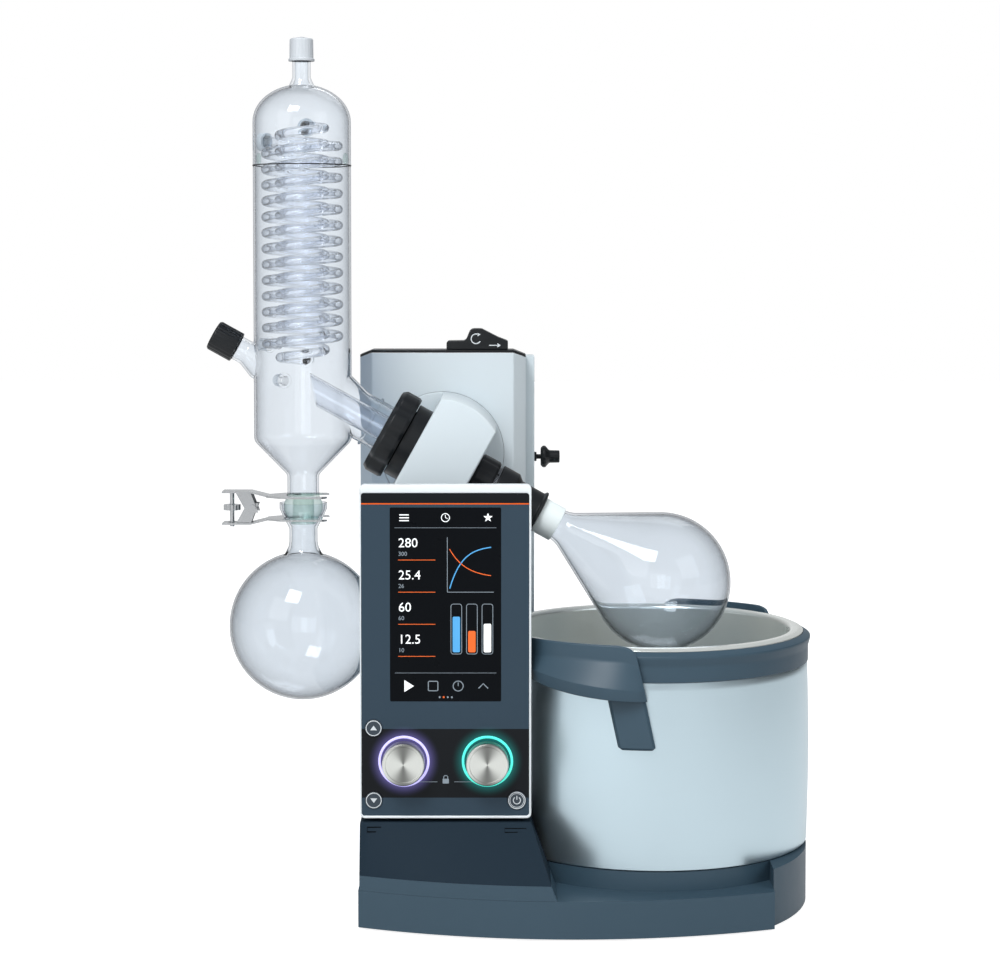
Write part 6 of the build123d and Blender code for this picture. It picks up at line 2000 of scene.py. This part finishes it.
    def duct(self) -> Piece:
        """Builds the vapour duct with its slanted mouth.

        Returns:
            The piece.
        """
        outer, inner = 11.5, 9.7
        shape = Shape().lathe([(inner, -150.0), (outer, -150.0), (outer, 96.0), (inner, 96.0)], DRIVE, 64, True)
        mouth = Shape().slab(
            rectangle(-60.0, -60.0, 60.0, 60.0), -60.0, 0.0,
            DRIVE @ Matrix.Translation((0.0, 0.0, -128.0)) @ Matrix.Rotation(math.radians(40.0), 4, "Y"), 0.0,
        )
        return shape.cut(mouth).piece("duct_glass", DUCT_GLASS, "rotor", "vapour_duct")

    def evaporating(self) -> Piece:
        """Blows the evaporating flask.

        Returns:
            The piece.
        """
        ball, middle, neck, wall = 61.5, 223.0, 14.2, 2.3
        cone = math.radians(29.3)
        skins = []
        for inward in (0.0, wall):
            size, slim = ball - inward, neck - inward
            touch_r, touch_t = size * math.cos(cone), middle - size * math.sin(cone)
            foot = touch_t - (touch_r - slim) / math.tan(cone)
            line = fillet([(slim, 61.15), (slim, foot, 24.0), (touch_r, touch_t)], False, 10)
            turns = [math.pi / 2.0 - cone + (math.pi / 2.0 + cone) * index / 36 for index in range(1, 36)]
            line += [(size * math.sin(turn), middle - size * math.cos(turn)) for turn in turns]
            skins.append(line + [(0.0, middle + size)])
        profile, cavity = skins
        shape = Shape().lathe(profile, DRIVE)
        shape.lathe(cavity, DRIVE)
        rims = [edge for edge in shape.mesh.edges if edge.is_boundary]
        bmesh.ops.bridge_loops(shape.mesh, edges=rims)
        return shape.piece("evaporating_glass", FLASK, "rotor", "evaporating_flask", smooth=60.0)

    def receiving(self) -> Piece:
        """Blows the receiving flask with its cup.

        Returns:
            The piece.
        """
        ball, middle, neck, wall = 65.5, 236.0, 12.5, 2.3
        join = math.asin((neck + 4.0) / ball)
        curve = [math.pi - (math.pi - join) * index / 40 for index in range(41)]
        outer = [(0.0, middle - ball)] + [
            (ball * math.sin(turn), middle + ball * math.cos(turn)) for turn in curve[1:]
        ]
        outer += [(neck + 0.8, 306.0), (neck, 311.0), (neck, 322.0), (neck + 1.5, 325.5), (17.0, 331.0), (21.0, 340.0)]
        rim = [(21.0, 345.0), (19.4, 345.0)]
        inner = [(18.4, 338.5), (15.0, 332.0), (neck - wall, 324.0), (neck - wall, 311.0), (neck - wall + 1.0, 304.0)]
        small = ball - wall
        join = math.asin((neck + 2.0) / small)
        curve = [join + (math.pi - join) * index / 40 for index in range(41)]
        inner += [(small * math.sin(turn), middle + small * math.cos(turn)) for turn in curve[:-1]]
        inner += [(0.0, middle - small)]
        return Shape().lathe(outer + rim + inner, CONDENSER).piece(
            "receiving_glass", FLASK, "head", "receiving_flask", smooth=60.0
        )


@dataclass
class GlassFittings:
    """Caps on the condenser and the clamp of the ball joint."""

    caps: tuple[Turned, ...] = (
        Turned(
            "filler_top", GREY_CAP, "filler_cap", ("top_cap",), CONDENSER,
            (
                (8.4, 733.0), (11.5, 733.0, 0.4), (11.5, 735.0, 0.4), (10.5, 735.6, 0.3), (10.3, 752.6, 1.6),
                (0.0, 754.5), (0.0, 752.2), (8.4, 752.2),
            ),
            144, ribbed(24.0, 0.012, 1, 9.0),
        ),
        Turned(
            "feed_top", BLACK, "feed_cap", ("side_port_cap",), DRIVE,
            (
                (11.4, -205.0), (13.7, -205.0, 0.5), (13.7, -226.8, 1.0), (12.6, -228.4, 0.6), (0.0, -228.4),
                (0.0, -226.6), (11.4, -226.6),
            ),
            160, ribbed(20.0, 0.03, 2, 12.8),
        ),
    )

    def build(self) -> list[Piece]:
        """Builds and dresses the fittings."""
        dress(CLAMP_STEEL, "clamp_upper_jaw", "clamp_lower_jaw", "clamp_nut")
        return [cap.build() for cap in self.caps] + [self.port_caps()]

    def port_caps(self) -> Piece:
        """Builds the grey caps on the upper hose ports, whose finish glows: painted light.

        Returns:
            The piece.
        """
        profile = fillet(
            [(5.8, 46.6), (8.0, 46.6, 0.5), (8.0, 57.0, 1.0), (0.0, 58.0), (0.0, 57.4), (5.8, 57.4)], steps=3
        )
        shape = Shape()
        for height, turn in Glassware.ports[1:4:2]:
            shape.lathe(profile, Glassware.port_place(height, turn), 40, True)
        return shape.piece("hose_port_caps", PORT_CAP_PAINTED_GLOW, "head", "port_caps")


@dataclass
class HeatingBath:
    """The heating bath: casing, dark band, steel vessel and two handles."""

    casing_r: float = 138.0
    barrel: float = 1.5
    low: float = 50.3
    high: float = 208.7
    band_r: float = 138.75
    vessel_r: float = 122.0
    vessel_floor: float = 96.5
    crest: float = 236.5
    lip: float = 140.5
    grip: float = 141.1

    def build(self) -> list[Piece]:
        """Builds and dresses the bath."""
        dress(BARE_STEEL, "bath_heater")
        return [self.casing(), self.band(), self.vessel(), self.handles()]

    def casing(self) -> Piece:
        """Builds the satin casing with its slight barrel.

        Returns:
            The piece.
        """
        side = []
        for index in range(25):
            share = index / 24
            bulge = self.barrel * math.sin(math.pi * share)
            side.append((self.casing_r + bulge, self.low + 1.0 + (self.high - self.low - 1.6) * share))
        inside, floor = self.casing_r - 3.0, self.low + 2.0
        profile = [(30.4, floor), (30.4, self.low), (self.casing_r - 1.4, self.low)] + side
        profile += [(self.casing_r - 0.4, self.high), (inside, self.high), (inside, floor)]
        return Shape().lathe(profile, BATH, 192, True).piece("bath_skin", BATH_SKIN, "bath", "bath_casing", smooth=35.0)

    def band(self) -> Piece:
        """Builds the dark band under the rim.

        Returns:
            The piece.
        """
        profile = fillet(
            [
                (self.casing_r - 8.0, self.high + 0.1), (self.band_r, self.high + 0.1, 0.5), (self.band_r, 222.0, 12.0),
                (self.lip, 228.6, 1.0), (self.lip, 230.4, 1.2), (134.6, 234.2, 0.4), (134.2, 228.0),
                (self.casing_r - 8.0, 226.0),
            ],
            steps=6,
        )
        return Shape().lathe(profile, BATH, 192, True).piece("bath_collar", SLATE, "bath", "bath_band", smooth=40.0)

    def vessel(self) -> Piece:
        """Draws the steel vessel with its rolled rim.

        Returns:
            The piece.
        """
        radius, thick = self.vessel_r, 1.4
        floor = self.vessel_floor
        inner = fillet(
            [(0.0, floor), (radius, floor, 14.0), (radius, self.crest, 4.0), (130.0, self.crest, 4.0),
             (134.3, 234.6, 0.6), (134.1, 233.2)],
            False, 10,
        )
        outer = fillet(
            [(133.0, 233.0), (129.6, self.crest - 1.6, 3.0), (radius + thick, self.crest - 1.6, 2.4),
             (radius + thick, floor - thick, 14.0), (0.0, floor - thick)],
            False, 10,
        )
        return Shape().lathe(inner + outer, BATH, 192).piece(
            "bath_bowl", VESSEL_STEEL, "bath", "bath_vessel", smooth=40.0
        )

    def handles(self) -> Piece:
        """Builds both handles as lofted shells that reach out from the rim.

        Returns:
            The piece.
        """
        shape = Shape()
        for turn in (0.0, 180.0):
            place = BATH @ Matrix.Rotation(math.radians(turn), 4, "Z")
            shape.loft([self.section(index / 40) for index in range(41)], place)
            shape.loft([self.tab_row(index / 24) for index in range(25)], place)
        return shape.piece("bath_grips", SLATE, "bath", "bath_handles", smooth=38.0)

    def section(self, share: float) -> list[Vector]:
        """Cuts the handle across.

        Args:
            share: How far round the handle the cut lies, from 0 to 1.

        Returns:
            The points of the cut.
        """
        inner, wall = self.grip, 3.4
        reach = inner + 5.0 + 13.0 * math.sin(math.pi * share**0.7)
        crease = 203.0 + 15.0 * share
        low = crease - 9.0 - 7.0 * share * (1.0 - share)
        corner = max(1.0 - min(share, 1.0 - share) / 0.14, 0.0)
        top = 240.0 - 7.0 * (1.0 - math.sqrt(1.0 - corner**2))
        line = fillet(
            [
                (inner, top, 0.9), (inner + wall, top, 1.4), (inner + wall + 0.6, top - 13.0, 6.0),
                (reach, crease, 1.2), (reach - 1.4, low, 0.9), (reach - 4.0, low, 0.9),
                (reach - 4.4, crease - 4.0, 2.0), (inner + 0.4, top - 13.0 - wall, 1.0), (inner, top - 18.0),
            ],
            steps=5,
        )
        spots = []
        for radius, height in line:
            angle = math.radians(-99.0 - 44.0 * share + 4.2 * (1.0 - share) * (240.0 - height) / 44.0)
            spots.append(Vector((radius * math.cos(angle), radius * math.sin(angle), height)))
        return spots

    def tab_row(self, share: float) -> list[Vector]:
        """Cuts the handle's tab level.

        Args:
            share: How far down the tab the cut lies, from 0 to 1.

        Returns:
            The points of the cut.
        """
        top, low, wide, inside, outside = 206.0, 153.0, 31.0, 139.75, 145.1
        height = top + (low - top) * share
        left = -46.5 + 11.5 * share
        above = height - low
        pinch = 3.0 - math.sqrt(9.0 - max(3.0 - above, 0.0) ** 2)
        proud = outside - 2.0 * max(1.0 - above / 2.2, 0.0)
        spread = [left + pinch + (wide - 2.0 * pinch) * index / 12 for index in range(13)]
        inner = [left + pinch + 2.4 + (wide - 2.0 * pinch - 4.8) * index / 10 for index in range(11)]
        ring = [(spread[0], outside - 2.4)] + [(x, proud) for x in inner] + [(spread[-1], outside - 2.4)]
        ring += [(x, inside) for x in reversed(spread)]
        return [Vector((x, -math.sqrt(radius**2 - x * x), height)) for x, radius in ring]


def main() -> None:
    """Builds the studio and every sub-assembly in order."""
    logging.basicConfig(level=logging.INFO, format="%(message)s")
    Studio().build()
    for maker in (
        BaseUnit(), ControlPanel(), LiftTower(), DriveHead(), Glassware(), GlassFittings(), HeatingBath(),
    ):
        for piece in maker.build():
            LOG.info("%s: %s, %d faces", type(maker).__name__, piece.name, len(piece.data.polygons))


if __name__ == "__main__":
    main()
